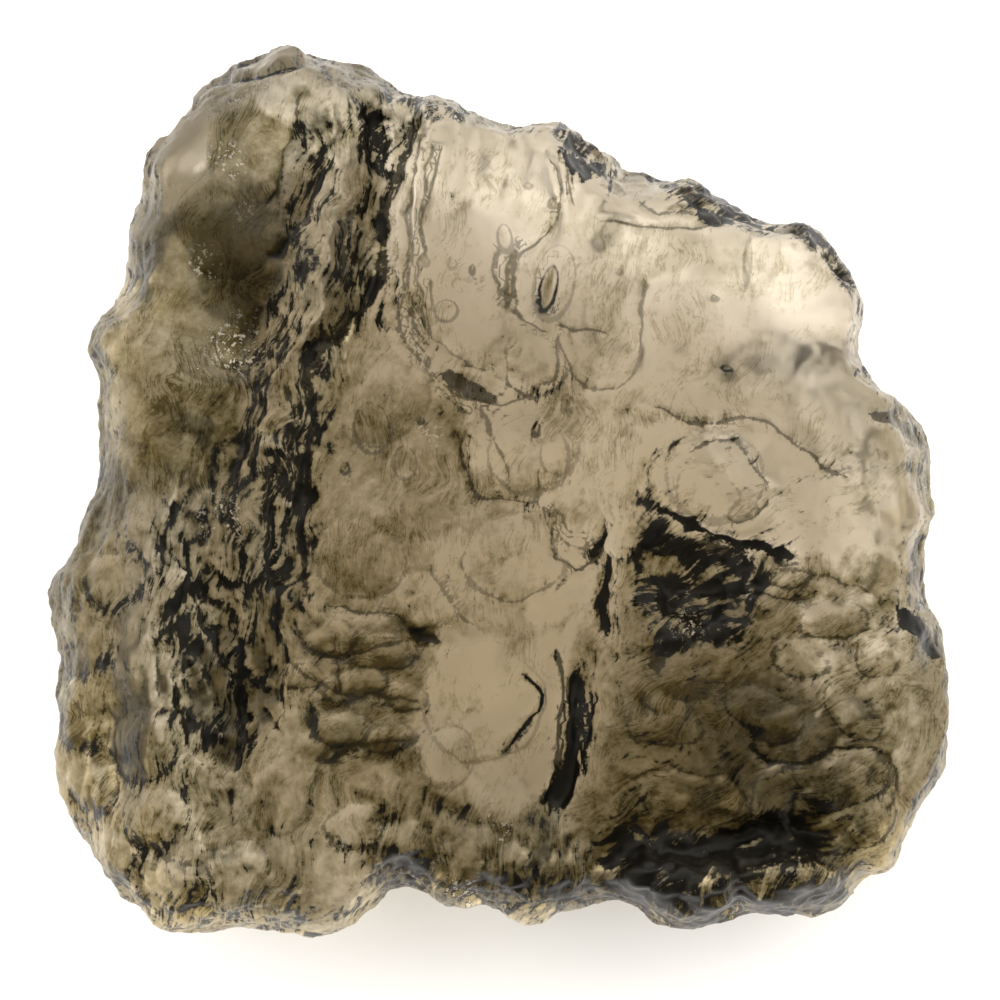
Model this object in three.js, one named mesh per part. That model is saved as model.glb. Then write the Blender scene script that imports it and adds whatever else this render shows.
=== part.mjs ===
// A raw moldavite: one piece of natural glass, a flattened plate with an etched and pitted skin.
// It lies on its back, on four worn knobs. Millimetres, +Z up, +Y towards the pointed end of the
// plate, and the origin is on the resting plane, under the middle of the stone's box.
import * as THREE from "three";

// Driving dimensions
const plateWidth = 30; // greatest width, along X
const rimHeight = 4.6; // mean height of the plate's edge above the resting plane
const frontRise = 3.7; // how far the upper face stands over the edge, before relief
const backDrop = 3.5; // how far the underside hangs below the edge, before relief
const edgeWave = 0.55; // how far the edge wanders up and down
const faceWave = 0.5; // how far each face swells and sinks over several millimetres
const narrowBevel = 1.7; // width of the rounding at the thin edge, upper right
const wideBevel = 4.2; // width of the rounding at the thick edge, lower left
const wideBevelAngle = 208; // direction of the thick edge from the middle, in degrees
const wideBevelSpread = 52; // how far round the thick edge reaches, in degrees
const edgeSharpness = 0.62; // 0.5 is a round edge, and 1 a wedge
const gridCells = 48; // cells across each face
const rimCrowding = 1.35; // above 1, the cells get narrower towards the edge
const notchFade = 3; // how far in from the edge its small notches can still be felt

// The outline, clockwise from the peak, one list for each side
const topEdge = [
  [-7.3, 14.95], [-6.35, 14.45], [-5.85, 14.55], [-5.25, 14.35], [-4.4, 14.25], [-4.05, 13.85],
  [-3.35, 13.3], [-1.9, 13.1], [-1.35, 12.75], [-0.5, 12.55], [0.2, 12.3], [1.6, 12.3],
  [2.4, 11.8], [2.95, 11.25], [3.6, 11.2], [4.1, 10.6], [4.85, 10.65], [5.3, 10.35],
  [6.0, 10.3], [7.0, 9.85], [7.9, 9.45], [8.65, 8.95], [9.9, 8.95],
];
const rightEdge = [
  [10.5, 8.75], [11.0, 8.25], [11.4, 7.6], [11.75, 6.85], [12.1, 6.05], [12.0, 5.4],
  [12.0, 4.65], [12.2, 4.05], [12.6, 3.45], [13.35, 2.85], [13.85, 2.05], [14.2, 1.45],
  [14.3, 0.85], [14.25, 0.25], [14.5, -0.35], [14.5, -1.05], [14.15, -1.9], [14.2, -2.55],
  [14.1, -3.6], [14.5, -4.4], [14.85, -5.0], [14.7, -5.35], [14.9, -5.95], [15.0, -7.35],
  [15.0, -8.5], [14.95, -9.35], [14.65, -9.9], [13.8, -11.05], [13.5, -11.85], [13.0, -12.75],
];
const bottomEdge = [
  [12.2, -12.95], [11.6, -13.85], [10.75, -14.15], [7.9, -14.25], [7.0, -14.55], [5.75, -14.55],
  [5.1, -14.15], [4.5, -13.75], [2.9, -14.0], [1.75, -14.15], [0.9, -14.4], [0.2, -14.2],
  [-0.4, -13.85], [-1.35, -14.0], [-1.9, -13.85], [-2.4, -13.5], [-3.15, -13.25], [-3.9, -13.4],
  [-4.5, -13.85], [-5.1, -14.45], [-6.0, -14.95], [-7.1, -14.9], [-8.75, -14.65], [-10.75, -14.75],
];
const leftEdge = [
  [-11.3, -14.65], [-12.1, -13.75], [-13.1, -13.05], [-13.7, -11.95], [-14.3, -11.0],
  [-14.7, -9.55], [-14.8, -8.65], [-14.65, -8.0], [-14.85, -7.1], [-14.8, -4.8], [-15.0, -4.05],
  [-14.95, -3.15], [-14.55, -2.5], [-14.2, -1.85], [-14.0, -0.85], [-13.45, 0.15],
  [-13.55, 1.15], [-13.45, 3.15], [-13.5, 4.25], [-13.8, 4.75], [-13.6, 5.2], [-13.15, 5.85],
  [-12.7, 6.5], [-12.5, 7.65], [-12.4, 9.05], [-12.05, 9.75], [-11.8, 11.0], [-11.5, 11.65],
  [-11.0, 12.0], [-10.4, 12.9], [-10.0, 13.7], [-9.5, 13.85], [-8.8, 14.35], [-7.95, 14.55],
];

// Bowls etched into a face, and knobs left standing where a rise is given instead of a depth.
// across and along are half sizes, and turn is in degrees, anticlockwise seen from above.
const frontBowls = [
  { name: "tall window", x: -0.6, y: 7.9, across: 2.8, along: 4.6, turn: -6, depth: 1.3 },
  { name: "right window", x: 3.6, y: 6.7, across: 2.4, along: 3.0, turn: 10, depth: 0.9 },
  { name: "lobe under the windows", x: 0.8, y: 4.2, across: 1.5, along: 1.5, turn: 0, depth: 0.5 },
  { name: "grainy lobe", x: 3.4, y: 4.7, across: 1.6, along: 1.4, turn: 0, depth: 0.4 },
  { name: "upper right field", x: 8.9, y: 5.4, across: 3.4, along: 3.2, turn: 20, depth: 1.2 },
  { name: "pale strip at the edge", x: 4.9, y: 9.6, across: 2.3, along: 1.1, turn: -24, depth: 0.6 },
  { name: "olive scoop", x: -9.0, y: 9.9, across: 2.0, along: 3.4, turn: -14, depth: 0.9 },
  { name: "lower olive scoop", x: -9.3, y: 5.6, across: 2.4, along: 2.0, turn: 20, depth: 0.8 },
  { name: "left hollow", x: -10.2, y: 1.9, across: 1.9, along: 2.4, turn: -8, depth: 0.5 },
  { name: "middle left plate", x: -4.3, y: 1.6, across: 2.0, along: 2.6, turn: 0, depth: 0.6 },
  { name: "middle field", x: 1.8, y: 1.3, across: 2.5, along: 1.9, turn: 10, depth: 0.7 },
  { name: "pale lobe", x: 0.3, y: -2.9, across: 1.8, along: 1.5, turn: 0, depth: 0.5 },
  { name: "left oval", x: -4.6, y: -2.4, across: 1.6, along: 1.8, turn: 10, depth: 0.5 },
  { name: "crescent", x: 2.1, y: -1.2, across: 1.5, along: 1.3, turn: 0, depth: 0.5 },
  { name: "grainy disc", x: 6.9, y: 0.4, across: 2.2, along: 1.7, turn: -25, depth: 0.6 },
  { name: "right patch", x: 11.4, y: 0.2, across: 2.1, along: 2.1, turn: 0, depth: 0.6 },
  { name: "dark pocket", x: 6.4, y: -2.9, across: 2.5, along: 1.7, turn: -18, depth: 1.2 },
  { name: "bottom window", x: -0.3, y: -7.6, across: 2.4, along: 2.9, turn: -12, depth: 1.0 },
  { name: "lower right scoop", x: 6.2, y: -9.8, across: 2.5, along: 1.7, turn: 6, depth: 0.6 },
  { name: "corner scoop", x: 11.0, y: -10.1, across: 2.2, along: 1.9, turn: 20, depth: 0.6 },
  { name: "ribbed scoop", x: 8.6, y: -6.0, across: 3.0, along: 1.6, turn: -20, depth: 0.5 },
  { name: "lower left scoop", x: -9.2, y: -10.6, across: 2.2, along: 1.8, turn: 10, depth: 0.6 },
  { name: "upper edge facet", x: -12.6, y: -3.4, across: 1.5, along: 2.2, turn: -8, depth: 0.5 },
  { name: "lower edge facet", x: -12.6, y: -8.2, across: 1.5, along: 2.6, turn: 10, depth: 0.5 },
  { name: "button in the bottom window", x: -1.9, y: -8.7, across: 1.1, along: 1.1, turn: 0, rise: 0.45 },
  { name: "foot lobe, left", x: 4.9, y: -12.7, across: 1.4, along: 1.4, turn: 0, rise: 0.7 },
  { name: "foot lobe, middle", x: 7.2, y: -12.9, across: 1.3, along: 1.3, turn: 0, rise: 0.7 },
  { name: "foot lobe, right", x: 9.7, y: -12.8, across: 1.9, along: 1.3, turn: 0, rise: 0.7 },
  { name: "edge knob, upper", x: 13.3, y: -2.9, across: 1.1, along: 1.1, turn: 0, rise: 0.6 },
  { name: "edge knob, lower", x: 13.4, y: -4.9, across: 1.2, along: 1.2, turn: 0, rise: 0.7 },
];
const backBowls = [
  { name: "under the tall window", x: -0.4, y: 8.0, across: 3.3, along: 4.2, turn: -6, depth: 1.5 },
  { name: "under the right field", x: 8.2, y: 6.0, across: 3.4, along: 2.8, turn: 14, depth: 1.2 },
  { name: "under the bottom window", x: -0.4, y: -7.8, across: 3.0, along: 3.2, turn: 0, depth: 1.4 },
  { name: "under the middle", x: 1.4, y: 0.6, across: 3.2, along: 2.4, turn: 24, depth: 0.9 },
  { name: "left of the middle", x: -5.0, y: -0.4, across: 1.9, along: 3.0, turn: 12, depth: 0.8 },
  { name: "right edge", x: 11.8, y: -3.8, across: 1.8, along: 3.2, turn: 0, depth: 0.7 },
  { name: "left edge", x: -11.6, y: 0.8, across: 1.6, along: 3.4, turn: 4, depth: 0.7 },
  { name: "near the lower edge", x: 3.6, y: -11.7, across: 2.6, along: 1.5, turn: -8, depth: 0.6 },
  { name: "lower left corner", x: -6.2, y: -11.8, across: 2.8, along: 1.6, turn: 12, depth: 0.6 },
];

// Worn knobs of the underside, cut flat by the resting plane
const feet = [
  { name: "lower left foot", x: -9.2, y: -7.2 },
  { name: "lower right foot", x: 8.8, y: -8.4 },
  { name: "upper left foot", x: -8.0, y: 7.8 },
  { name: "upper right foot", x: 9.2, y: 1.8 },
];
const footRadius = 3;
const footReach = 1.5; // how far a knob stands out of the underside

// Gullies cut along a line, and crests standing along one, by depth or rise
const frontLines = [
  {
    name: "main gully", halfWidth: 1.05, depth: 1.2,
    path: [[-3.9, 12.7], [-3.8, 9.7], [-3.9, 6.3], [-5.4, 4.0], [-6.0, 1.3], [-6.5, -1.0],
      [-7.3, -3.7], [-8.0, -7.0], [-8.8, -8.6]],
  },
  {
    name: "left gully", halfWidth: 0.95, depth: 0.85,
    path: [[-5.8, 11.3], [-6.8, 9.2], [-7.3, 7.3], [-8.1, 4.3], [-8.7, 1.3], [-9.6, -0.7],
      [-9.6, -4.0], [-9.2, -7.0]],
  },
  {
    name: "split beside the bottom window", halfWidth: 0.95, depth: 1.1,
    path: [[3.5, -2.5], [3.3, -4.3], [2.7, -7.0], [2.3, -9.0], [1.6, -10.5]],
  },
  {
    name: "gully above the foot lobes", halfWidth: 0.85, depth: 0.9,
    path: [[3.8, -11.9], [4.9, -11.5], [6.3, -11.3], [7.8, -11.4], [9.6, -11.2], [11.2, -11.4]],
  },
  {
    name: "furrow under the middle", halfWidth: 0.85, depth: 0.6,
    path: [[-1.4, 2.7], [-1.2, 0.5], [-0.1, -0.5], [1.3, 0.0]],
  },
  {
    name: "furrow over the bottom window", halfWidth: 0.85, depth: 0.5,
    path: [[-3.4, -3.7], [-2.4, -4.9], [-0.8, -4.5], [1.0, -4.3]],
  },
  {
    name: "crest round the tall window", halfWidth: 0.9, rise: 0.55,
    path: [[-2.4, 12.0], [-3.0, 8.7], [-3.4, 6.0], [-2.6, 4.0], [-0.7, 3.0], [1.2, 3.1], [1.9, 4.6]],
  },
  {
    name: "arched crest", halfWidth: 0.9, rise: 0.6,
    path: [[4.0, -2.3], [4.0, -0.3], [4.6, 1.3], [6.3, 2.2], [8.3, 2.0], [9.4, 0.8]],
  },
  {
    name: "crest between the gullies", halfWidth: 0.85, rise: 0.6,
    path: [[-5.2, 12.6], [-5.0, 9.6], [-5.6, 6.4], [-6.9, 3.8], [-7.6, 0.6]],
  },
  {
    name: "ledge under the peak", halfWidth: 0.75, depth: 0.5,
    path: [[-9.9, 13.2], [-8.4, 13.4], [-6.6, 13.6], [-5.0, 13.4]],
  },
  {
    name: "upper ledge of the thick edge", halfWidth: 0.85, rise: 0.45,
    path: [[-12.4, 0.0], [-11.4, -2.6], [-11.8, -5.6], [-11.2, -9.0], [-10.2, -12.0], [-9.9, -13.6]],
  },
];
const backLines = [
  {
    name: "long gully of the underside", halfWidth: 1.05, depth: 0.8,
    path: [[-4.5, 11.5], [-4.4, 6.0], [-2.6, 3.2], [-3.0, -3.4], [-5.4, -8.4], [-5.0, -12.5]],
  },
  {
    name: "cross gully of the underside", halfWidth: 1, depth: 0.6,
    path: [[3.2, -4.6], [5.0, -2.4], [5.9, 3.6], [5.2, 8.6]],
  },
];

// Scallops: the etched cells that cover the whole skin, long in the plate's own direction
const scallopLayers = [
  { size: 3.4, depth: 0.9, seed: 3 },
  { size: 2.1, depth: 0.4, seed: 8 },
];
const scallopStretch = 1.35; // length of a cell over its width
const scallopLean = 0.16; // how far the cells lean to the right for each millimetre up
const bendSize = 4; // distance over which the cells' borders bend
const bendReach = 0.8;
const rimScallops = 0.25; // share of the scallops' depth that the outline itself takes

const degree = Math.PI / 180;
const clamp01 = (t) => Math.min(Math.max(t, 0), 1);
const wrap = (angle) => THREE.MathUtils.euclideanModulo(angle + Math.PI, 2 * Math.PI) - Math.PI;
const smooth = (t) => clamp01(t) ** 2 * (3 - 2 * clamp01(t));

// A fixed random number from 0 to 1 for a cell of a cubic net
function cellNoise(i, j, k, seed) {
  const wild = Math.sin(i * 127.1 + j * 311.7 + k * 74.7 + seed * 19.3) * 43758.5453;
  return wild - Math.floor(wild);
}

// Smooth noise from -1 to 1 over a plane
function softNoise(x, y, seed) {
  const i = Math.floor(x);
  const j = Math.floor(y);
  const across = smooth(x - i);
  const { lerp } = THREE.MathUtils;
  const low = lerp(cellNoise(i, j, 0, seed), cellNoise(i + 1, j, 0, seed), across);
  const high = lerp(cellNoise(i, j + 1, 0, seed), cellNoise(i + 1, j + 1, 0, seed), across);
  return 2 * lerp(low, high, smooth(y - j)) - 1;
}

// Squared distance to the nearest of one scattered point a cell: bowls that meet in sharp crests
function nearestSeed(x, y, z, seed) {
  let nearest = 1;
  for (let i = Math.floor(x) - 1; i <= Math.floor(x) + 1; i++) {
    for (let j = Math.floor(y) - 1; j <= Math.floor(y) + 1; j++) {
      for (let k = Math.floor(z) - 1; k <= Math.floor(z) + 1; k++) {
        const dx = i + cellNoise(i, j, k, seed) - x;
        const dy = j + cellNoise(i, j, k, seed + 1) - y;
        const dz = k + cellNoise(i, j, k, seed + 2) - z;
        nearest = Math.min(nearest, dx * dx + dy * dy + dz * dz);
      }
    }
  }
  return nearest;
}

// How far the etched cells stand over their mean at a point of the skin
function scallops(x, y, z) {
  const leant = x - scallopLean * y + bendReach * softNoise(x / bendSize, y / bendSize, 11);
  const bent = y + bendReach * softNoise(x / bendSize + 40, y / bendSize, 12);
  return scallopLayers.reduce((total, { size, depth, seed }) => {
    const bowl = nearestSeed(leant / size, bent / (size * scallopStretch), z / size, seed);
    return total + depth * (bowl - 0.3);
  }, 0);
}

// A bowl or knob: deepest or highest in the middle, with a lip where it meets the face
function bowlHeight(bowl, x, y) {
  const cosine = Math.cos(bowl.turn * degree);
  const sine = Math.sin(bowl.turn * degree);
  const across = ((x - bowl.x) * cosine + (y - bowl.y) * sine) / bowl.across;
  const along = ((y - bowl.y) * cosine - (x - bowl.x) * sine) / bowl.along;
  return (bowl.rise ?? -bowl.depth) * clamp01(1 - Math.hypot(across, along) ** 2.4) ** 1.2;
}

function distanceToPath(path, x, y) {
  let nearest = Infinity;
  for (let i = 1; i < path.length; i++) {
    const [ax, ay] = path[i - 1];
    const [bx, by] = path[i];
    const along = clamp01(
      ((x - ax) * (bx - ax) + (y - ay) * (by - ay)) / ((bx - ax) ** 2 + (by - ay) ** 2),
    );
    nearest = Math.min(nearest, Math.hypot(x - ax - along * (bx - ax), y - ay - along * (by - ay)));
  }
  return nearest;
}

function lineHeight(line, x, y) {
  const away = distanceToPath(line.path, x, y) / line.halfWidth;
  return (line.rise ?? -line.depth) * Math.exp(-(away ** 2));
}

function footHeight(foot, x, y) {
  return footReach * smooth(1.3 - Math.hypot(x - foot.x, y - foot.y) / footRadius);
}

const sum = (items, height, x, y) => items.reduce((total, item) => total + height(item, x, y), 0);

function frontHeight(x, y) {
  const swell = faceWave * softNoise(x / 9 + 5, y / 9, 21);
  return frontRise + swell + sum(frontBowls, bowlHeight, x, y) + sum(frontLines, lineHeight, x, y);
}

function backDepth(x, y) {
  const swell = faceWave * softNoise(x / 9, y / 9 + 7, 22);
  const carved = sum(backBowls, bowlHeight, x, y) + sum(backLines, lineHeight, x, y);
  return backDrop + swell + carved + sum(feet, footHeight, x, y);
}

// Distance from the middle to the outline in each direction
const outline = new THREE.CatmullRomCurve3(
  [...topEdge, ...rightEdge, ...bottomEdge, ...leftEdge].map(([x, y]) => new THREE.Vector3(x, y, 0)),
  true,
  "centripetal",
)
  .getPoints(1200)
  .map((p) => ({ angle: Math.atan2(p.y, p.x), radius: Math.hypot(p.x, p.y) }))
  .sort((a, b) => a.angle - b.angle);

function outlineRadius(angle) {
  const next = outline.findIndex((p) => p.angle >= angle);
  const after = outline[Math.max(next, 0)];
  const before = outline.at(next > 0 ? next - 1 : -1);
  const gap = THREE.MathUtils.euclideanModulo(after.angle - before.angle, 2 * Math.PI);
  const share = THREE.MathUtils.euclideanModulo(angle - before.angle, 2 * Math.PI) / (gap || 1);
  return THREE.MathUtils.lerp(before.radius, after.radius, clamp01(share));
}

// The same distance with the small notches of the edge evened out
function evenRadius(angle) {
  const turns = [-9, -6, -3, 0, 3, 6, 9];
  return turns.reduce((total, turn) => total + outlineRadius(wrap(angle + turn * degree)), 0) / turns.length;
}

function bevelWidth(angle) {
  const turn = THREE.MathUtils.euclideanModulo(angle / degree - wideBevelAngle + 180, 360) - 180;
  return narrowBevel + (wideBevel - narrowBevel) * Math.exp(-((turn / wideBevelSpread) ** 2));
}

function edgeHeight(angle) {
  const wander = Math.sin(2 * angle + 0.6) + 0.45 * Math.sin(5 * angle) + 0.3 * Math.sin(11 * angle + 1);
  return rimHeight + edgeWave * wander;
}

// The point of a face for grid position u, v, each from -1 to 1. side is 1 above and -1 below.
function facePoint(u, v, side) {
  const ring = Math.max(Math.abs(u), Math.abs(v));
  const angle = Math.atan2(v, u);
  const share = 1 - (1 - ring) ** rimCrowding;
  const rimRadius = outlineRadius(angle);
  const notches = smooth(1 - ((1 - share) * rimRadius) / notchFade);
  const radius = THREE.MathUtils.lerp(evenRadius(angle), rimRadius, notches);
  const x = share * radius * Math.cos(angle);
  const y = share * radius * Math.sin(angle);
  const bevel = 1 - clamp01(((1 - share) * radius) / bevelWidth(angle));
  const body = (1 - bevel ** 2) ** edgeSharpness;
  const edge = THREE.MathUtils.lerp(rimHeight, edgeHeight(angle), share ** 2);
  const z = side > 0 ? edge + frontHeight(x, y) * body : edge - backDepth(x, y) * body;
  return new THREE.Vector3(x, y, z);
}

// Both faces as one closed skin that shares the vertices of the edge. Each cell of the grid is
// split along its shorter diagonal, so crests that run aslant stay whole.
function plateGeometry() {
  const points = [];
  const onRim = [];
  const numbers = new Map();
  const vertex = (i, j, side) => {
    const rim = i === 0 || j === 0 || i === gridCells || j === gridCells;
    const key = `${i},${j},${rim ? 0 : side}`;
    if (!numbers.has(key)) {
      numbers.set(key, points.length);
      points.push(facePoint((2 * i) / gridCells - 1, (2 * j) / gridCells - 1, side));
      onRim.push(rim);
    }
    return numbers.get(key);
  };
  const indices = [];
  for (const side of [1, -1]) {
    for (let i = 0; i < gridCells; i++) {
      for (let j = 0; j < gridCells; j++) {
        const cell = [vertex(i, j, side), vertex(i + 1, j, side), vertex(i + 1, j + 1, side),
          vertex(i, j + 1, side)];
        if (side < 0) cell.reverse();
        const [a, b, c, d] = cell;
        const shorter = points[a].distanceTo(points[c]) < points[b].distanceTo(points[d]);
        indices.push(...(shorter ? [a, b, c, a, c, d] : [a, b, d, b, c, d]));
      }
    }
  }
  const geometry = new THREE.BufferGeometry().setFromPoints(points);
  geometry.setIndex(indices);
  geometry.computeVertexNormals();
  return { geometry, onRim };
}

// The etched skin: every point moves along its own normal, and the knobs are worn flat underneath
function etch({ geometry, onRim }) {
  const { position, normal } = geometry.attributes;
  const point = new THREE.Vector3();
  const outward = new THREE.Vector3();
  for (let i = 0; i < position.count; i++) {
    point.fromBufferAttribute(position, i);
    outward.fromBufferAttribute(normal, i);
    const rise = scallops(point.x, point.y, point.z) * (onRim[i] ? rimScallops : 1);
    point.addScaledVector(outward, rise);
    position.setXYZ(i, point.x, point.y, Math.max(point.z, 0));
  }
}

function stoneGeometry() {
  const plate = plateGeometry();
  etch(plate);
  const { geometry } = plate;
  geometry.computeBoundingBox();
  const box = geometry.boundingBox;
  const scale = plateWidth / (box.max.x - box.min.x);
  const middle = box.getCenter(new THREE.Vector3());
  geometry.translate(-middle.x, -middle.y, -box.min.z);
  geometry.scale(scale, scale, scale);
  geometry.computeVertexNormals();
  return geometry;
}

const moldaviteGlass = new THREE.MeshStandardMaterial({
  color: 0x8c8463,
  roughness: 0.35,
  metalness: 0,
});

const stone = new THREE.Mesh(stoneGeometry(), moldaviteGlass);
stone.name = "moldavite";

const moldavite = new THREE.Group();
moldavite.add(stone);

export default moldavite;
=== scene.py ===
import math
import bpy
import numpy as np
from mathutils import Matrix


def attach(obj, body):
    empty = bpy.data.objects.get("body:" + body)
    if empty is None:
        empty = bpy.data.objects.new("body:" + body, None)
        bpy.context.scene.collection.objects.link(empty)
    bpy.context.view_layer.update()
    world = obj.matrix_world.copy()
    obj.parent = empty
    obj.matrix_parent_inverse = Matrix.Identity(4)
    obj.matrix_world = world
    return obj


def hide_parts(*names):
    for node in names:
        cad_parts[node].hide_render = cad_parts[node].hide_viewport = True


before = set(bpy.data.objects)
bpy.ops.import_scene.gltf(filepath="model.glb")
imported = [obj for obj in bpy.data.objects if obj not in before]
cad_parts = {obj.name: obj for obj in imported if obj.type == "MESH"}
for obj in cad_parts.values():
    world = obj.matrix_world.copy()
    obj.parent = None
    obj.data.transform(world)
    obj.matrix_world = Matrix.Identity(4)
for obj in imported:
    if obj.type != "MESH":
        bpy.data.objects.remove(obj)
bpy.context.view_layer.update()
scene = bpy.context.scene
mm = 0.001


def linear(hexColour):
    channels = [int(hexColour[i:i + 2], 16) / 255 for i in (1, 3, 5)]
    return [c / 12.92 if c <= 0.04045 else ((c + 0.055) / 1.055) ** 2.4 for c in channels] + [1.0]


# Adds one node with its settings and links, and gives back one of its outputs
def addNode(tree, kind, settings, inputs, out=0):
    node = tree.nodes.new(kind)
    for name, value in settings.items():
        setattr(node, name, value)
    for socket, value in (inputs.items() if isinstance(inputs, dict) else enumerate(inputs)):
        if isinstance(value, bpy.types.NodeSocket):
            tree.links.new(value, node.inputs[socket])
        elif value is not None:
            node.inputs[socket].default_value = value
    return node.outputs[out] if len(node.outputs) else node


# Settings that many nodes share
smooth = {"interpolation_type": "SMOOTHSTEP"}
floats = {"data_type": "FLOAT"}
onPoints = {"data_type": "FLOAT", "domain": "POINT"}


def readPoints(mesh, name="co"):
    values = np.zeros(len(mesh.vertices) * 3, np.float32)
    if name == "co":
        mesh.vertices.foreach_get("co", values)
    else:
        mesh.vertex_normals.foreach_get("vector", values)
    return values.reshape(-1, 3).astype(float)


# The stone's base mesh: the CAD solid with its facets evened out, in small even quads
baseSettings = {
    "quadSize": 0.142 * mm,
    "smoothing": 0.5,
    "smoothingSteps": 8,
    "undersideKept": 0.62,
}


def makeBase():
    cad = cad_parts["moldavite"]
    stone = bpy.data.objects.new("moldaviteStone", cad.data.copy())
    scene.collection.objects.link(stone)
    weld = stone.modifiers.new("weld", "WELD")
    weld.merge_threshold = 0.001 * mm
    remesh = stone.modifiers.new("remesh", "REMESH")
    remesh.mode = "VOXEL"
    remesh.voxel_size = baseSettings["quadSize"]
    even = stone.modifiers.new("even", "SMOOTH")
    even.factor = baseSettings["smoothing"]
    even.iterations = baseSettings["smoothingSteps"]
    makePlain(stone)
    # The underside needs fewer faces than the side with the relief
    underside = stone.vertex_groups.new(name="underside")
    normals = readPoints(stone.data, "normals")
    underside.add(np.flatnonzero(normals[:, 2] < -0.3).tolist(), 1.0, "REPLACE")
    coarse = stone.modifiers.new("coarse", "DECIMATE")
    coarse.ratio = baseSettings["undersideKept"]
    coarse.vertex_group = "underside"
    makePlain(stone)
    stone.vertex_groups.clear()
    return stone


# Turns what the modifiers make into the object's own mesh
def makePlain(piece):
    evaluated = piece.evaluated_get(bpy.context.evaluated_depsgraph_get())
    mesh = bpy.data.meshes.new_from_object(evaluated)
    piece.modifiers.clear()
    piece.data = mesh


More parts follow.
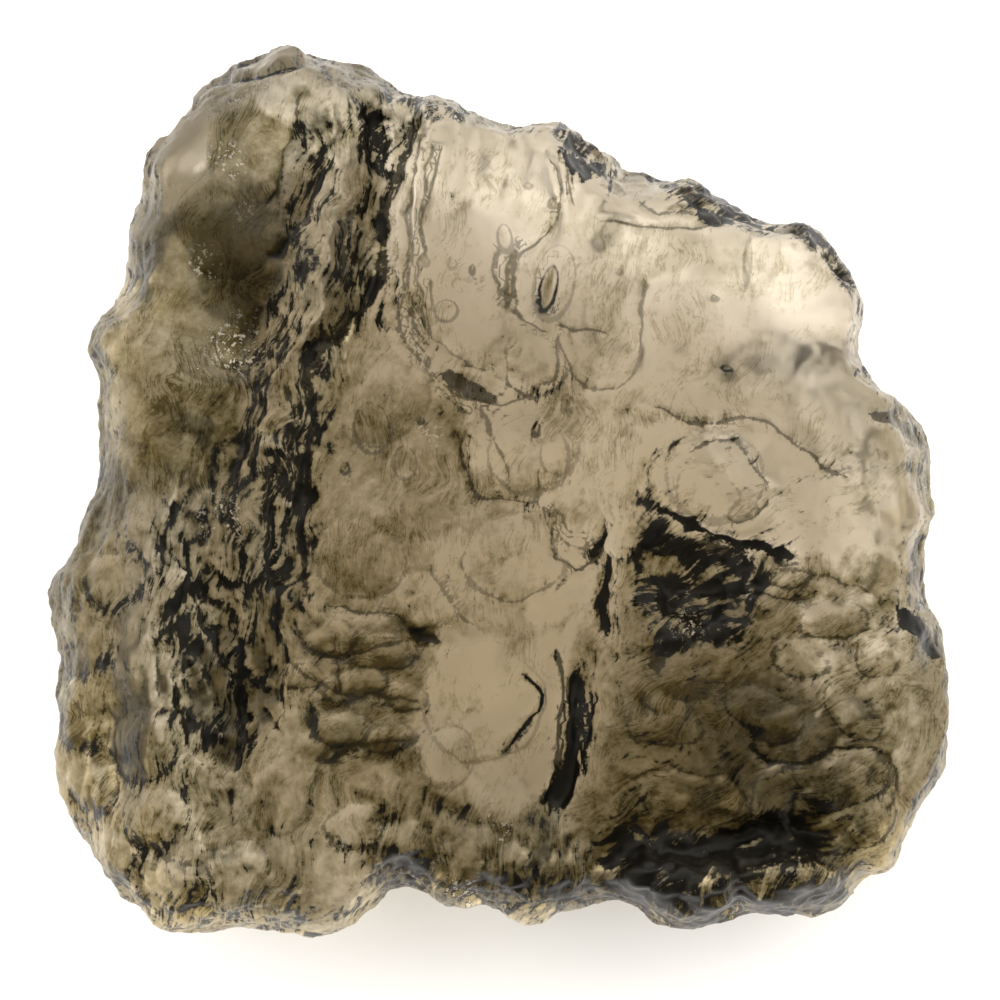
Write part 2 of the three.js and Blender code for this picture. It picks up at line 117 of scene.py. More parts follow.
# Tones of the upper face, each painted over those before it. For each region: how deep the olive is,
# how much painted shade darkens its etched walls, whether its streaks run across (1) or along (0), how calm
# its skin is, how soft its border is, and the border itself. All lengths are mm from the stone's middle.
regions = {
    "thick edge": (0.72, 0.0, 0, 0.4, 0.4, [(-12.8, 0.2), (-12.3, -1), (-13.2, -2.6), (-13.4, -3.7),
        (-12, -4.5), (-12.7, -7), (-12.9, -9.5), (-12, -11.5), (-10.5, -14.8), (-15.6, -14.8),
        (-15.6, 0.2)]),
    "top of the thick edge": (0.93, 0.0, 0, 0.5, 0.4, [(-13.2, 6), (-12.6, 5.5), (-12.6, 2.3),
        (-11.9, 0.2), (-12.3, -1), (-15.6, -1), (-15.6, 6)]),
    "upper left facet": (0.08, 0.0, 0, 0.9, 0.15, [(-12.4, 8.2), (-11.1, 8.7), (-10.6, 9.7),
        (-10.1, 10.3), (-9.9, 11.7), (-9.9, 13.4), (-13.5, 13), (-13.5, 8)]),
    "cap": (0.05, 0.0, 0, 0.7, 0.12, [(-10, 13.6), (-8.2, 13.8), (-6, 14.1), (-5.3, 15.5), (-10, 15.5)]),
    "olive scoops": (0.78, 0.05, 0, 0.85, 0.25, [(-9.9, 11.7), (-10.1, 10.3), (-10.6, 9.7), (-11.1, 8.7),
        (-12.2, 8.3), (-12.4, 6.3), (-12.5, 5), (-12.2, 2.3), (-11.7, 0.3), (-10.1, -0.3), (-8.1, 1.7),
        (-8, 4), (-6.7, 6.3), (-7.1, 8.3), (-7.6, 10.3), (-7.2, 12.3), (-8.7, 12.8)]),
    "inner lobe": (0.66, 0.0, 0, 0.9, 0.2, [(-10.6, 9.7), (-10.7, 8), (-10.4, 7.2), (-9.6, 7),
        (-8.6, 7.5), (-7.1, 8.5), (-7.7, 9.7), (-8.1, 11), (-9.1, 10.8)]),
    "brown field": (0.9, 0.28, 0, 0.6, 0.4, [(-10.4, 3.6), (-8, 4), (-8.3, 1.7), (-8.8, -0.4),
        (-11.7, -0.3), (-11.3, 2)]),
    "streaky band": (0.7, 0.4, 0, 0.0, 0.8, [(-8.3, 6), (-6, 5.3), (-5.6, 0.6), (-6.1, -2.6),
        (-6.8, -4.5), (-7.6, -7.2), (-8.4, -9.2), (-10.2, -8.5), (-11.6, -4.5), (-12, -1.7), (-10.3, 0.3),
        (-8.9, 1), (-8.5, 3.5)]),
    "furrowed ridges": (0.5, 0.25, 0, 0.1, 0.4, [(-7.6, 12.7), (-3.4, 13), (-3.4, 6), (-5.4, 4.9),
        (-8.2, 6), (-7.1, 8.3), (-7.6, 10.5)]),
    "middle left plate": (0.52, 0.05, 0, 0.6, 0.4, [(-5.6, 4), (-3.5, 4.3), (-1.4, 3.2), (-1.2, 1),
        (0, -0.4), (-1, -3.2), (-4, -3.6), (-6.2, -2.6)]),
    "tall window": (0.06, 0.0, 0, 0.85, 0.25, [(-2.6, 12.1), (0.2, 12.3), (1.7, 11.9), (1.9, 9), (1.2, 8),
        (0.6, 6.8), (0.4, 5.4), (-0.3, 4.6), (-1.8, 4.7), (-2.7, 5.8), (-3, 8)]),
    "upper right field": (0.19, 0.0, 0, 0.8, 0.5, [(1.9, 11.6), (2.6, 9.5), (1.3, 7.8), (0.8, 5.5),
        (2, 4.7), (4.3, 3.4), (4.3, 2.6), (8, 2.6), (10, 1.8), (12.8, 1.7), (12.6, 6), (10.5, 8.8)]),
    "pale right rim": (0.0, 0.0, 0, 0.9, 0.8, [(9.6, 5.8), (12.4, 6.6), (12.6, 3.5), (11, 2.6),
        (9.6, 3.5)]),
    "pale strip": (0.0, 0.0, 0, 0.6, 0.2, [(2.7, 10.6), (3.9, 10.9), (5.8, 10.4), (6.6, 9.3), (4.7, 8.7),
        (3.4, 8.9)]),
    "middle field": (0.18, 0.0, 0, 0.6, 0.4, [(-0.9, 2.9), (3.3, 3), (4.2, 2.4), (3.6, -0.4), (1, -0.5),
        (-0.2, 0.4)]),
    "right field": (0.03, 0.02, 1, 0.5, 0.4, [(4.8, 2), (12.9, 1.6), (14.4, -1.6), (9, -2), (6.5, -1.4),
        (5, -0.7)]),
    "centre": (0.16, 0.0, 0, 0.5, 0.4, [(-2.7, -1), (3.4, -1.8), (3.3, -4.6), (-2, -4.4)]),
    "lower right": (0.78, 0.26, 1, 0.5, 0.7, [(4.2, -4.6), (9, -3.8), (12.6, -3), (13.6, -5),
        (13.6, -10.5), (12.8, -13), (11.5, -15.6), (3.2, -15.6), (2.6, -11), (3.4, -7)]),
    "pocket": (0.83, 0.78, 1, 0.0, 0.5, [(4.9, -0.6), (6.8, -1.2), (8.7, -1.8), (9.8, -2.2), (9.4, -3.2),
        (8, -4.8), (5.4, -5), (4.3, -4.4), (4.5, -2.2)]),
    "olive patch in the pocket": (0.7, 0.0, 0, 0.4, 0.2, [(4.7, -1.7), (5.9, -1.8), (6.5, -2.4),
        (6.1, -3), (5, -3)]),
    "yellow lumps": (0.5, 0.08, 1, 0.5, 0.7, [(9.3, -2.6), (13, -3), (13.4, -6), (11, -8), (9, -6)]),
    "grey right rim": (0.58, 0.0, 0, 0.5, 0.5, [(13.3, -5.7), (15.3, -5.5), (15.3, -10), (13.2, -12.5),
        (12.2, -12.2), (13, -9.5), (13.6, -7.5)]),
    "bricks": (0.8, 0.05, 1, 0.5, 0.4, [(-6.7, -4.4), (-2.2, -4.6), (-2.4, -9.5), (-6.6, -9)]),
    "bottom window": (0.15, 0.0, 0, 0.7, 0.45, [(-1.2, -4.5), (0.6, -4.7), (2, -4.9), (2.1, -7),
        (2, -9.6), (0.9, -10.5), (-0.4, -10.6), (-1.9, -9.9), (-2.9, -8.9), (-3.2, -7.8), (-2.9, -6.7),
        (-2.2, -5.5)]),
    "crown of the dome": (0.0, 0.0, 0, 0.7, 0.8, [(-1.9, -5.7), (-0.6, -5.2), (0.6, -5.8), (0.7, -7.1),
        (-0.2, -8), (-1.7, -7.8), (-2.2, -6.8)]),
    "lower left": (0.6, 0.08, 0, 0.2, 0.7, [(-12.3, -6.5), (-9.5, -8.6), (-6.8, -8.8), (-6.6, -12),
        (-5, -14.7), (-10.8, -14.8), (-12.2, -11.4)]),
    "foot of the middle": (0.8, 0.22, 0, 0.1, 0.5, [(-5.5, -9.5), (-0.5, -10.2), (3, -11), (3, -13.8),
        (-4, -13.3)]),
    "foot lobes": (0.95, 0.45, 0, 0.4, 0.4, [(3.2, -12.6), (11.2, -12.2), (11.2, -15.6), (3.2, -15.6)]),
    "foot gully": (0.97, 1.0, 1, 0.1, 0.4, [(4.2, -11.2), (9.8, -11), (10.8, -12), (9.5, -12.7), (5, -13),
        (3.4, -12.6)]),
    "dark rim": (0.45, 0.45, 1, 0.2, 0.25, [(4.6, 10.7), (6.5, 10.2), (8.6, 9.5), (10.3, 9.1), (11.4, 8),
        (11.8, 6.9), (11.1, 6.9), (10.4, 7.8), (9.4, 8.3), (7.8, 8.3), (6.6, 8.5), (5.2, 9.4)]),
    "dark corner by the window": (0.4, 0.55, 0, 0.2, 0.2, [(1.7, 12.6), (2.6, 12.2), (3.1, 11),
        (2.9, 10.2), (2.3, 9.9), (1.9, 10.6)]),
    "dark top edge": (0.45, 0.4, 0, 0.2, 0.2, [(-3.6, 13.6), (-1, 13.1), (-0.6, 12.3), (-1.6, 11.9),
        (-3.2, 12)]),
}

# Furrows of the upper face: half the width, the depth, how dark their painted shade is, and the path
furrows = {
    "ledge under the cap": (0.16, 0.25, 1.0, [(-9.6, 13.5), (-9.1, 13.7), (-8, 13.8), (-7.1, 13.9),
        (-6, 14.1)]),
    "head of the main gully": (0.3, 0.4, 1.0, [(-4.4, 12.4), (-4, 12), (-4.1, 11.3), (-3.9, 10.7)]),
    "main gully": (0.34, 0.35, 0.95, [(-2.9, 11.8), (-3.2, 11.1), (-3.6, 10.2), (-3.9, 9), (-4.1, 7.8),
        (-4.1, 6.6), (-4.6, 5.8), (-5.2, 5.1), (-6, 4.6), (-6.2, 3.6), (-6.2, 2.2), (-6.3, 0.8),
        (-6.2, -0.4)]),
    "second gully": (0.26, 0.3, 0.9, [(-6, 10.7), (-6.3, 9.9), (-6.5, 9.2), (-7, 8.4), (-7.5, 7.7)]),
    "furrow between the gullies": (0.24, 0.25, 0.8, [(-4.9, 9.2), (-5.3, 8.2), (-5.2, 7.2),
        (-4.9, 6.4)]),
    "furrow beside the scoops": (0.22, 0.2, 0.7, [(-6.6, 12.8), (-6.8, 11.9), (-7.3, 11.2), (-7.4, 10.3),
        (-7.6, 9.4)]),
    "left streak, 1": (0.25, 0.25, 0.9, [(-7.9, 2.4), (-8.4, 1.4), (-8.7, 0.3), (-9, -0.5)]),
    "left streak, 2": (0.2, 0.2, 0.8, [(-7, 3.3), (-6.8, 2.3), (-6.9, 1.3), (-7.2, 0.3)]),
    "left streak, 3": (0.22, 0.3, 1.0, [(-7.4, 0.4), (-7.5, -0.8), (-7.5, -2), (-7.4, -2.9)]),
    "left streak, 4": (0.18, 0.2, 0.9, [(-6.4, -0.2), (-6.5, -1.2), (-6.4, -2.6), (-6.5, -3.8)]),
    "left streak, 5": (0.2, 0.3, 0.75, [(-9.9, -3.3), (-9.2, -3.9), (-8.7, -4.4)]),
    "left streak, 6": (0.2, 0.3, 0.75, [(-9.2, -4.7), (-9.1, -5.6), (-8.9, -6.2)]),
    "left streak, 7": (0.17, 0.3, 0.8, [(-8.4, -5), (-8.6, -6.6), (-8.5, -8), (-8.8, -9)]),
    "left streak, 8": (0.12, 0.2, 0.75, [(-7.9, -7), (-7.3, -8)]),
    "left streak, 9": (0.14, 0.2, 0.7, [(-7.4, -4.3), (-6.9, -5.6), (-7.3, -6.7)]),
    "left streak, 10": (0.14, 0.15, 0.7, [(-11.1, -5), (-11, -6.4)]),
    "left streak, 11": (0.14, 0.15, 0.65, [(-11.2, -1.3), (-10.4, -2.6), (-9.6, -3.4)]),
    "lower left seam": (0.2, 0.15, 0.6, [(-11.6, -11.5), (-10.9, -12.1), (-10.1, -12.3)]),
    "slit beside the bricks": (0.2, 0.3, 1.0, [(-6.1, -7.2), (-6.1, -8)]),
    "crescent under the slit": (0.12, 0.15, 0.8, [(-5.9, -8.7), (-5.4, -8.8), (-4.9, -8.4)]),
    "brick seam, 1": (0.14, 0.12, 0.65, [(-6.8, -4.3), (-6.4, -5.2), (-5.2, -5.3), (-3.6, -5.2),
        (-2.7, -4.9)]),
    "brick seam, 2": (0.14, 0.12, 0.65, [(-6.9, -5.6), (-5.9, -6.3), (-4.6, -6.8), (-2.6, -6.9)]),
    "brick seam, 3": (0.14, 0.12, 0.6, [(-5.3, -4.8), (-5.1, -6.6)]),
    "brick seam, 4": (0.14, 0.12, 0.65, [(-5.1, -8.2), (-4.4, -8.3), (-2.8, -8.2)]),
    "dark seam over the bricks": (0.3, 0.2, 0.75, [(-5.6, -3.9), (-4.4, -4.2), (-3.3, -4.1),
        (-2.6, -4.9)]),
    "dark knot": (0.4, 0.3, 0.95, [(-2.7, -4.8), (-2.3, -4.9)]),
    "hatched patch": (0.45, 0.1, 0.45, [(-2.2, -2.6), (-1.6, -3.4), (-0.9, -4.3)]),
    "flow line, 1": (0.12, 0.14, 0.55, [(-3.6, 7.2), (-3.5, 6), (-3.1, 4.8), (-2.1, 3.7), (-0.8, 2.9),
        (-0.1, 2.7), (0.9, 3), (1.6, 3.6), (1.8, 4.7)]),
    "flow line, 2": (0.12, 0.12, 0.5, [(-2.6, 11.3), (-2.9, 9.7), (-3.1, 8), (-3.2, 6.7), (-2.9, 5.6),
        (-2.4, 5)]),
    "flow line, 3": (0.1, 0.1, 0.35, [(-2.2, 11), (-2.4, 9.7), (-2.7, 8.3), (-2.9, 7), (-2.7, 6),
        (-2, 5)]),
    "flow line, 4": (0.1, 0.08, 0.6, [(-1.9, 11), (-2.15, 9.9), (-2.55, 8.5), (-2.85, 7.2)]),
    "flow line, 5": (0.1, 0.08, 0.5, [(-2.7, 10.4), (-3.1, 9), (-3.3, 7.7), (-3.2, 6.4), (-3, 5.4),
        (-2.4, 4.2)]),
    "flow line, 6": (0.1, 0.08, 0.4, [(-2.5, 6.8), (-2.45, 6), (-2.2, 5.3), (-1.5, 4.6), (-0.6, 4.2)]),
    "flow line, 7": (0.1, 0.08, 0.5, [(-3.4, 5.2), (-2.9, 4.3), (-2, 3.3), (-1, 2.6)]),
    "flow line, 8": (0.1, 0.08, 0.6, [(0.1, 7.9), (-0.1, 7), (0.2, 6.2), (0.6, 5.6), (1.3, 5.2)]),
    "flow line, 9": (0.1, 0.08, 0.5, [(0.6, 8.1), (0.5, 7.3), (0.3, 6.6), (0.5, 5.9)]),
    "thin line in the middle": (0.1, 0.08, 0.6, [(1.1, 0.6), (1.15, -0.2), (1.1, -0.9)]),
    "inner arc, 1": (0.1, 0.06, 0.5, [(1.4, -0.7), (2, -1.7), (2.7, -1.9), (3.1, -1.6)]),
    "inner arc, 2": (0.1, 0.06, 0.4, [(1.6, -0.6), (2.2, -1.3), (2.8, -1.4)]),
    "grainy patch": (0.45, 0.2, 0.9, [(-1.7, 3.9), (-1, 3.5), (-0.5, 3)]),
    "middle furrow": (0.25, 0.25, 0.7, [(-1.4, 1.7), (-1.3, 0.6), (-0.9, -0.2), (0.1, -0.5), (1, -0.4)]),
    "middle line": (0.16, 0.12, 0.55, [(-0.7, 2.6), (-0.5, 1.8), (0, 1.1), (0.2, 0.4)]),
    "crescent": (0.13, 0.2, 0.8, [(1.5, -1.3), (1.7, -2.1), (2.3, -2.5), (3, -2.3), (3.3, -1.8),
        (3.4, -1.3)]),
    "tip of the crescent": (0.25, 0.2, 1.0, [(3, -2.1), (3.4, -1.5)]),
    "groove under the crescent": (0.3, 0.4, 1.0, [(3.5, -2.3), (3.5, -3.2), (3.5, -4.6)]),
    "split": (0.45, 0.5, 1.0, [(2.6, -6.2), (2.5, -7.6), (2.4, -9), (1.9, -10.3)]),
    "left wall of the split": (0.14, 0.1, 0.9, [(1.9, -5.5), (2, -7), (1.8, -9), (1.6, -10.3)]),
    "right wall of the split": (0.16, 0.1, 1.0, [(3.1, -6.8), (2.9, -8), (2.9, -9.2)]),
    "crest shadow": (0.12, 0.25, 1.0, [(0.1, -8.8), (0.6, -8), (1.1, -7.5), (1.2, -6.8), (0.8, -6.2)]),
    "grainy band": (0.3, 0.15, 0.6, [(1.9, 11.8), (2.4, 11.3), (2.3, 10.5), (2.5, 9.5)]),
    "wavy line, 1": (0.16, 0.14, 0.6, [(1.6, 10.7), (1.9, 9.9), (1.8, 9.1), (1.2, 8.3), (0.7, 7.7),
        (0.3, 6.6), (0.6, 5.7)]),
    "wavy line, 2": (0.1, 0.1, 0.5, [(0.5, 7.7), (0.1, 6.6), (0.4, 5.8), (0.8, 5.5)]),
    "wavy line, 3": (0.1, 0.08, 0.4, [(0, 8), (-0.2, 7.2), (-0.1, 6.4)]),
    "line under the bubble": (0.1, 0.1, 0.6, [(1.9, 5.3), (2.4, 5.1), (3.3, 5.2)]),
    "grainy lobe": (0.12, 0.12, 0.45, [(1.9, 4.9), (2.3, 3.7), (2.9, 3.4), (3.6, 3.5), (4.1, 3.9),
        (4.4, 4.7), (4.6, 6.8)]),
    "strip line, 1": (0.18, 0.12, 0.6, [(4.6, 9.5), (5.3, 9.2), (6.3, 9.3)]),
    "strip line, 2": (0.18, 0.12, 0.6, [(3.4, 8.8), (4.6, 8.6), (6.3, 8.7), (7.3, 8.9)]),
    "upper right rim": (0.28, 0.1, 0.85, [(5.5, 10.2), (6.3, 9.9), (7.3, 9.6), (8.3, 9.1), (9.2, 8.8),
        (9.9, 8.7), (10.6, 8.3), (11.1, 7.7), (11.5, 7)]),
    "inner rim line": (0.12, 0.12, 0.7, [(6.3, 9.7), (7.3, 9.1), (8.6, 8.6), (9.6, 8.7), (10.1, 8.2),
        (10.8, 7.6), (11.3, 7.1)]),
    "arched line": (0.16, 0.12, 0.7, [(5.1, 2.7), (5.9, 2.3), (7.3, 2.2), (8.6, 2.2), (9.3, 1.7),
        (10, 1.1), (10.7, 0.6), (11.3, 0.4)]),
    "disc line": (0.14, 0.12, 0.65, [(6.2, 1.4), (7.1, 1.8), (7.9, 1.6), (8.4, 0.8), (8.8, 0.1)]),
    "disc hook": (0.1, 0.12, 0.8, [(7.3, -0.9), (7.6, -1.1), (8.2, -0.8), (8.8, -0.5)]),
    "pocket rim": (0.35, 0.35, 1.0, [(4.9, -0.5), (5.7, -0.9), (6.6, -1.3), (7.3, -1.8), (8.5, -1.9),
        (9.3, -2.1)]),
    "pocket depth": (0.4, 0.3, 0.9, [(6.6, -1.9), (7.5, -2.4), (8.4, -2.8)]),
    "pocket floor": (0.3, 0.2, 0.7, [(5.3, -3.3), (6.3, -3.4), (7.2, -3.5)]),
    "lump seam, 1": (0.25, 0.2, 0.7, [(8.2, -3.3), (9.2, -3.6), (10.2, -3.7)]),
    "lump seam, 2": (0.2, 0.15, 0.55, [(9, -2.5), (10.5, -2.9), (12, -3.2)]),
    "dark spot, 1": (0.45, 0.15, 0.8, [(5.1, -5.4), (5.1, -5.7)]),
    "dark spot, 2": (0.6, 0.15, 0.7, [(6.9, -6.3), (7.3, -6.3)]),
    "dark spot, 3": (0.25, 0.15, 0.7, [(4.6, -7), (5.2, -7.4)]),
    "lower right ledge": (0.16, 0.2, 0.9, [(8.2, -8.5), (8.9, -8.9), (9.8, -8.9), (10.9, -8.4),
        (12.3, -8.5)]),
    "corner lobe, right": (0.14, 0.15, 0.6, [(12.6, -8.6), (12.9, -9.6), (12.6, -10.4)]),
    "corner lobe, left": (0.14, 0.15, 0.5, [(9.6, -9.9), (9.3, -10.8), (9.7, -11.4)]),
    "scoop brow": (0.2, 0.15, 0.5, [(4, -9.6), (5.5, -9.2), (7.4, -9.3), (8, -10)]),
    "foot gully": (0.4, 0.4, 1.0, [(4.5, -11.2), (5.3, -11.7), (6.3, -11.9), (7.3, -11.7),
        (8.3, -11.3)]),
    "left end of the foot gully": (0.4, 0.3, 1.0, [(3.4, -12.4), (4.3, -12)]),
    "right end of the foot gully": (0.22, 0.2, 0.9, [(9.6, -11.3), (10.9, -11.5)]),
    "seam of the foot lobes": (0.3, 0.2, 0.75, [(5, -13), (6.3, -13.2), (8.3, -12.8), (10.5, -13.1)]),
    "gap between the foot lobes": (0.3, 0.3, 0.95, [(7.9, -12.2), (7.8, -13.8)]),
    "rim knob, upper": (0.4, 0.2, 1.0, [(13.9, -1.9), (13.9, -2.9), (14, -3.2)]),
    "rim knob, lower": (0.6, 0.2, 1.0, [(13.2, -4), (13.9, -4.6), (14.4, -5.3)]),
    "rim wedge": (0.3, 0.1, 0.85, [(12.3, 2.6), (13, 2.3), (13.9, 1.6)]),
    "rim freckles": (0.25, 0.1, 0.7, [(13.3, 0.8), (14, -0.3)]),
    "foot seam": (0.2, 0.15, 0.8, [(-0.8, -13.4), (-0.2, -13.8)]),
    "shade under the bottom window": (0.35, 0.2, 0.6, [(-1.8, -10.4), (-1, -10.8), (0, -11),
        (0.9, -11.4)]),
}

# Crests of the upper face: half the width, the rise and the path
crests = {
    "arched crest": (0.4, 0.2, [(3.9, -2.3), (4, -1), (4.2, 0), (4.6, 1), (5.3, 1.7)]),
    "olive ridge, 1": (0.4, 0.2, [(-5.4, 13), (-6, 11.7), (-6.7, 10)]),
    "olive ridge, 2": (0.35, 0.2, [(-4.4, 10.3), (-5.4, 8.3), (-6.3, 6.3)]),
    "edge ledge, 1": (0.25, 0.18, [(-13.2, 0), (-13.8, -1.4), (-14, -2.7), (-13.6, -4)]),
    "edge ledge, 2": (0.25, 0.15, [(-12, -1), (-11.4, -2.4), (-10.4, -3.7), (-9.6, -5)]),
    "edge ledge, 3": (0.25, 0.18, [(-13.2, -7.7), (-13.5, -9), (-13, -10.4), (-12.4, -12),
        (-11.4, -13.8)]),
    "edge ledge, 4": (0.25, 0.15, [(-10.7, -10), (-9.6, -12), (-9.3, -13.6)]),
    "pale ridge over the lumps": (0.3, 0.2, [(10, -4.1), (11.3, -3.9), (12.6, -3.4)]),
}

# Rounded lobes that overlap like scales, each over those before it: middle, half sizes, turn in degrees,
# rise, how strongly painted shade darkens its foot and painted light brightens its top, and how dark the
# painted shade of its outline is
lobes = {
    "corner, behind": (11.1, -9.3, 1.5, 1.0, 0, 0.15, 0.16, 0.7),
    "corner": (10.5, -10.4, 2.3, 1.7, -8, 0.2, 0.2, 0.7),
    "scoop": (5.9, -10.3, 2.0, 1.1, 6, -0.12, 0.14, 0.5),
    "foot, left": (4.4, -13, 0.6, 0.85, 0, 0.15, 0.2, 0.9),
    "foot, middle": (6.3, -13.5, 1.4, 1.1, 0, 0.2, 0.2, 0.9),
    "foot, right": (9.6, -13.2, 1.6, 0.95, 8, 0.2, 0.2, 0.9),
    "lump, 1": (9.3, -2.7, 0.85, 0.5, -5, 0.14, 0.22, 0.6),
    "lump, 2": (10.9, -4.3, 1.15, 0.6, 10, 0.16, 0.24, 0.6),
    "lump, 3": (12.2, -5.4, 0.8, 0.6, -20, 0.12, 0.2, 0.6),
    "lump, 4": (9.8, -5.5, 1.0, 0.6, -30, 0.12, 0.2, 0.6),
    "lump, 5": (11.4, -7.2, 1.1, 0.7, -35, 0.12, 0.18, 0.6),
    "lump, 6": (8.6, -7.3, 1.3, 0.8, -15, 0.12, 0.16, 0.6),
    "lump, 7": (5.4, -7.6, 1.2, 0.8, 0, 0.1, 0.12, 0.6),
    "swell": (6.6, -5.7, 1.9, 1.1, 0, 0.12, 0.12, 0.1),
    "centre": (0.3, -2.3, 1.6, 1.3, -5, 0.18, 0.1, 0.4),
    "left of the centre": (-4.6, -2.3, 1.5, 1.4, 0, 0.15, 0.12, 0.35),
    "over the knot": (-2.6, -3.6, 1.3, 1.0, 0, 0.12, 0.12, 0.2),
    "tongue": (0.9, 1.1, 1.4, 1.3, 0, 0.12, 0.1, 0.35),
    "small tongue": (1.9, 1.3, 0.75, 0.9, 0, 0.08, 0.08, 0.25),
    "plate": (-3.9, 2.9, 1.6, 1.2, 20, 0.1, 0.1, 0.2),
    "window foot": (1, 4, 0.95, 1.05, 0, 0.12, 0.06, 0.6),
    "disc": (7, 0.5, 1.7, 1.5, 0, 0.14, 0.12, 0.3),
    "disc, inner": (6.7, 0, 1.0, 0.9, 0, 0.08, 0.1, 0.3),
    "inner scoop": (-8.9, 8.9, 1.7, 2.0, -15, 0.15, 0.12, 0.25),
    "lower scoop": (-9.2, 5.3, 1.6, 1.7, 0, -0.12, 0.1, 0.2),
    "dome": (-0.6, -7, 1.95, 2.0, 0, 0.25, 0.1, 0.25),
    "knoll on the dome": (-1, -6.4, 1.0, 0.9, 0, 0.1, 0.08, 0.0),
    "striped patch": (-7.3, -9.8, 1.1, 1.5, 0, 0.12, 0.08, 0.25),
    "edge facet": (-12.6, -3, 1.0, 0.9, 0, 0.12, 0.1, 0.75),
    "edge facet, 1": (-13.7, -5.1, 1.1, 1.0, 0, 0.12, 0.14, 0.75),
    "edge facet, 2": (-14, -7.3, 1.0, 1.2, 10, 0.12, 0.16, 0.75),
    "edge facet, 3": (-11.7, -8.2, 1.1, 1.2, -10, 0.12, 0.14, 0.75),
    "edge facet, 4": (-13.4, -9.6, 0.9, 1.1, 20, 0.12, 0.16, 0.75),
    "edge facet, 5": (-11.2, -10.7, 1.0, 1.1, 0, 0.1, 0.14, 0.75),
    "edge facet, 6": (-12.8, -11.9, 0.9, 1.0, 25, 0.12, 0.16, 0.75),
    "edge facet, 7": (-10.6, -12.9, 1.1, 0.9, 15, 0.12, 0.16, 0.75),
    "edge facet, 8": (-8.6, -12.6, 1.0, 1.2, -10, 0.12, 0.14, 0.75),
    "foot scale, 1": (-4.9, -10.9, 0.9, 0.7, 10, 0.1, 0.16, 0.65),
    "foot scale, 2": (-3.2, -11.6, 1.1, 0.8, -8, 0.12, 0.18, 0.65),
    "foot scale, 3": (-1.5, -12.3, 0.9, 0.8, 0, 0.12, 0.18, 0.65),
    "foot scale, 4": (0.3, -12.2, 0.9, 0.7, 12, 0.12, 0.18, 0.65),
    "foot scale, 5": (2, -12.7, 0.8, 0.9, 0, 0.12, 0.18, 0.65),
    "brick, 1": (-5.6, -4.9, 0.9, 0.5, 5, 0.12, 0.2, 0.6),
    "brick, 2": (-3.8, -5.4, 1.0, 0.55, -4, 0.12, 0.2, 0.6),
    "brick, 3": (-6.4, -6.1, 0.7, 0.5, 0, 0.12, 0.2, 0.6),
    "brick, 4": (-4.8, -6.4, 1.0, 0.5, 8, 0.12, 0.2, 0.6),
    "brick, 5": (-3.1, -6.8, 0.7, 0.5, 0, 0.1, 0.2, 0.6),
    "brick, 6": (-5.2, -7.7, 1.1, 0.55, -4, 0.12, 0.2, 0.6),
    "brick, 7": (-3.6, -8.1, 0.9, 0.5, 6, 0.1, 0.2, 0.6),
}

# Bubbles opened by the etching, and drops standing in relief: middle, half sizes, turn in degrees,
# depth of the bowl, and how dark the painted shade of its rim is
bubbles = {
    "long bubble": (1.55, 6.6, 0.28, 0.78, -14, 0.3, 1.0),
    "round the long bubble": (1.75, 6.8, 0.66, 1.25, -10, 0.04, 0.35),
    "drop": (0.13, 8.3, 0.24, 0.46, 8, 0.1, 0.5),
    "thin bubble": (8.1, 7.6, 0.13, 0.7, -4, 0.08, 0.4),
    "small bubble": (1.1, 2.1, 0.14, 0.24, -10, 0.12, 0.9),
    "edge bubble": (0.63, 11.95, 0.2, 0.14, -25, 0.1, 0.9),
    "left drop": (-4.2, 2.05, 0.6, 0.85, 0, 0.14, 0.65),
    "right drop": (-3.15, 0.9, 0.38, 0.55, 0, 0.12, 0.5),
    "dark crescent": (-5.1, 0.7, 0.17, 0.2, 0, 0.1, 0.9),
    "dot on the plate": (-2.6, 2.3, 0.1, 0.13, 0, 0.1, 0.9),
    "window loop": (-1.8, 5.9, 0.38, 0.36, 20, 0.1, 0.55),
    "ring": (2.15, 2.85, 0.22, 0.28, 0, 0.08, 0.4),
    "dot in the window": (-0.95, 7.3, 0.08, 0.16, 0, 0.08, 0.7),
    "pale ring, 1": (-1.6, 7.45, 0.15, 0.17, 0, 0.05, 0.3),
    "pale ring, 2": (-2.45, 7.5, 0.1, 0.13, 0, 0.05, 0.35),
    "pale ring, 3": (3.95, 9.8, 0.12, 0.13, 0, 0.06, 0.5),
    "pale ring, 4": (3.9, 7.2, 0.1, 0.1, 0, 0.05, 0.4),
    "pale ring, 5": (0.9, 10, 0.13, 0.1, -15, 0.05, 0.5),
    "pale ring, 6": (1.7, 9.4, 0.15, 0.16, 0, 0.06, 0.6),
    "field dot, 1": (7.4, 4, 0.18, 0.1, -15, 0.1, 1.0),
    "field dot, 2": (7, 6.3, 0.12, 0.08, 0, 0.08, 0.6),
    "dark disc": (-10.2, -6.8, 0.6, 0.6, 0, 0.15, 0.5),
    "button": (-1.8, -8.8, 0.85, 0.95, 0, -0.25, 0.3),
}

# Spots with painted glints, white specks on the skin: middle and half size
paintedGlints = {
    "scoop, top": (-9.1, 10.8, 0.55), "scoop, right": (-8.5, 9.1, 0.5), "scoop, foot": (-9.8, 7.5, 0.65),
    "lower scoop": (-8.6, 4.9, 0.95), "white dot": (-9.9, 4.1, 0.2), "under the cap": (-7.2, 13.4, 0.5),
    "left of the cap": (-8.9, 13, 0.5), "top edge": (-1.6, 12.5, 0.7), "plate": (-2.4, 1.8, 0.5),
    "streaks": (-9, -0.9, 0.7), "knot": (-1.4, -4.3, 0.5), "pocket": (6.2, -4.5, 0.5),
    "foot": (-0.2, -10.9, 0.6), "bottom edge": (-1.5, -13.5, 0.7), "right rim": (14, 0, 0.6),
}


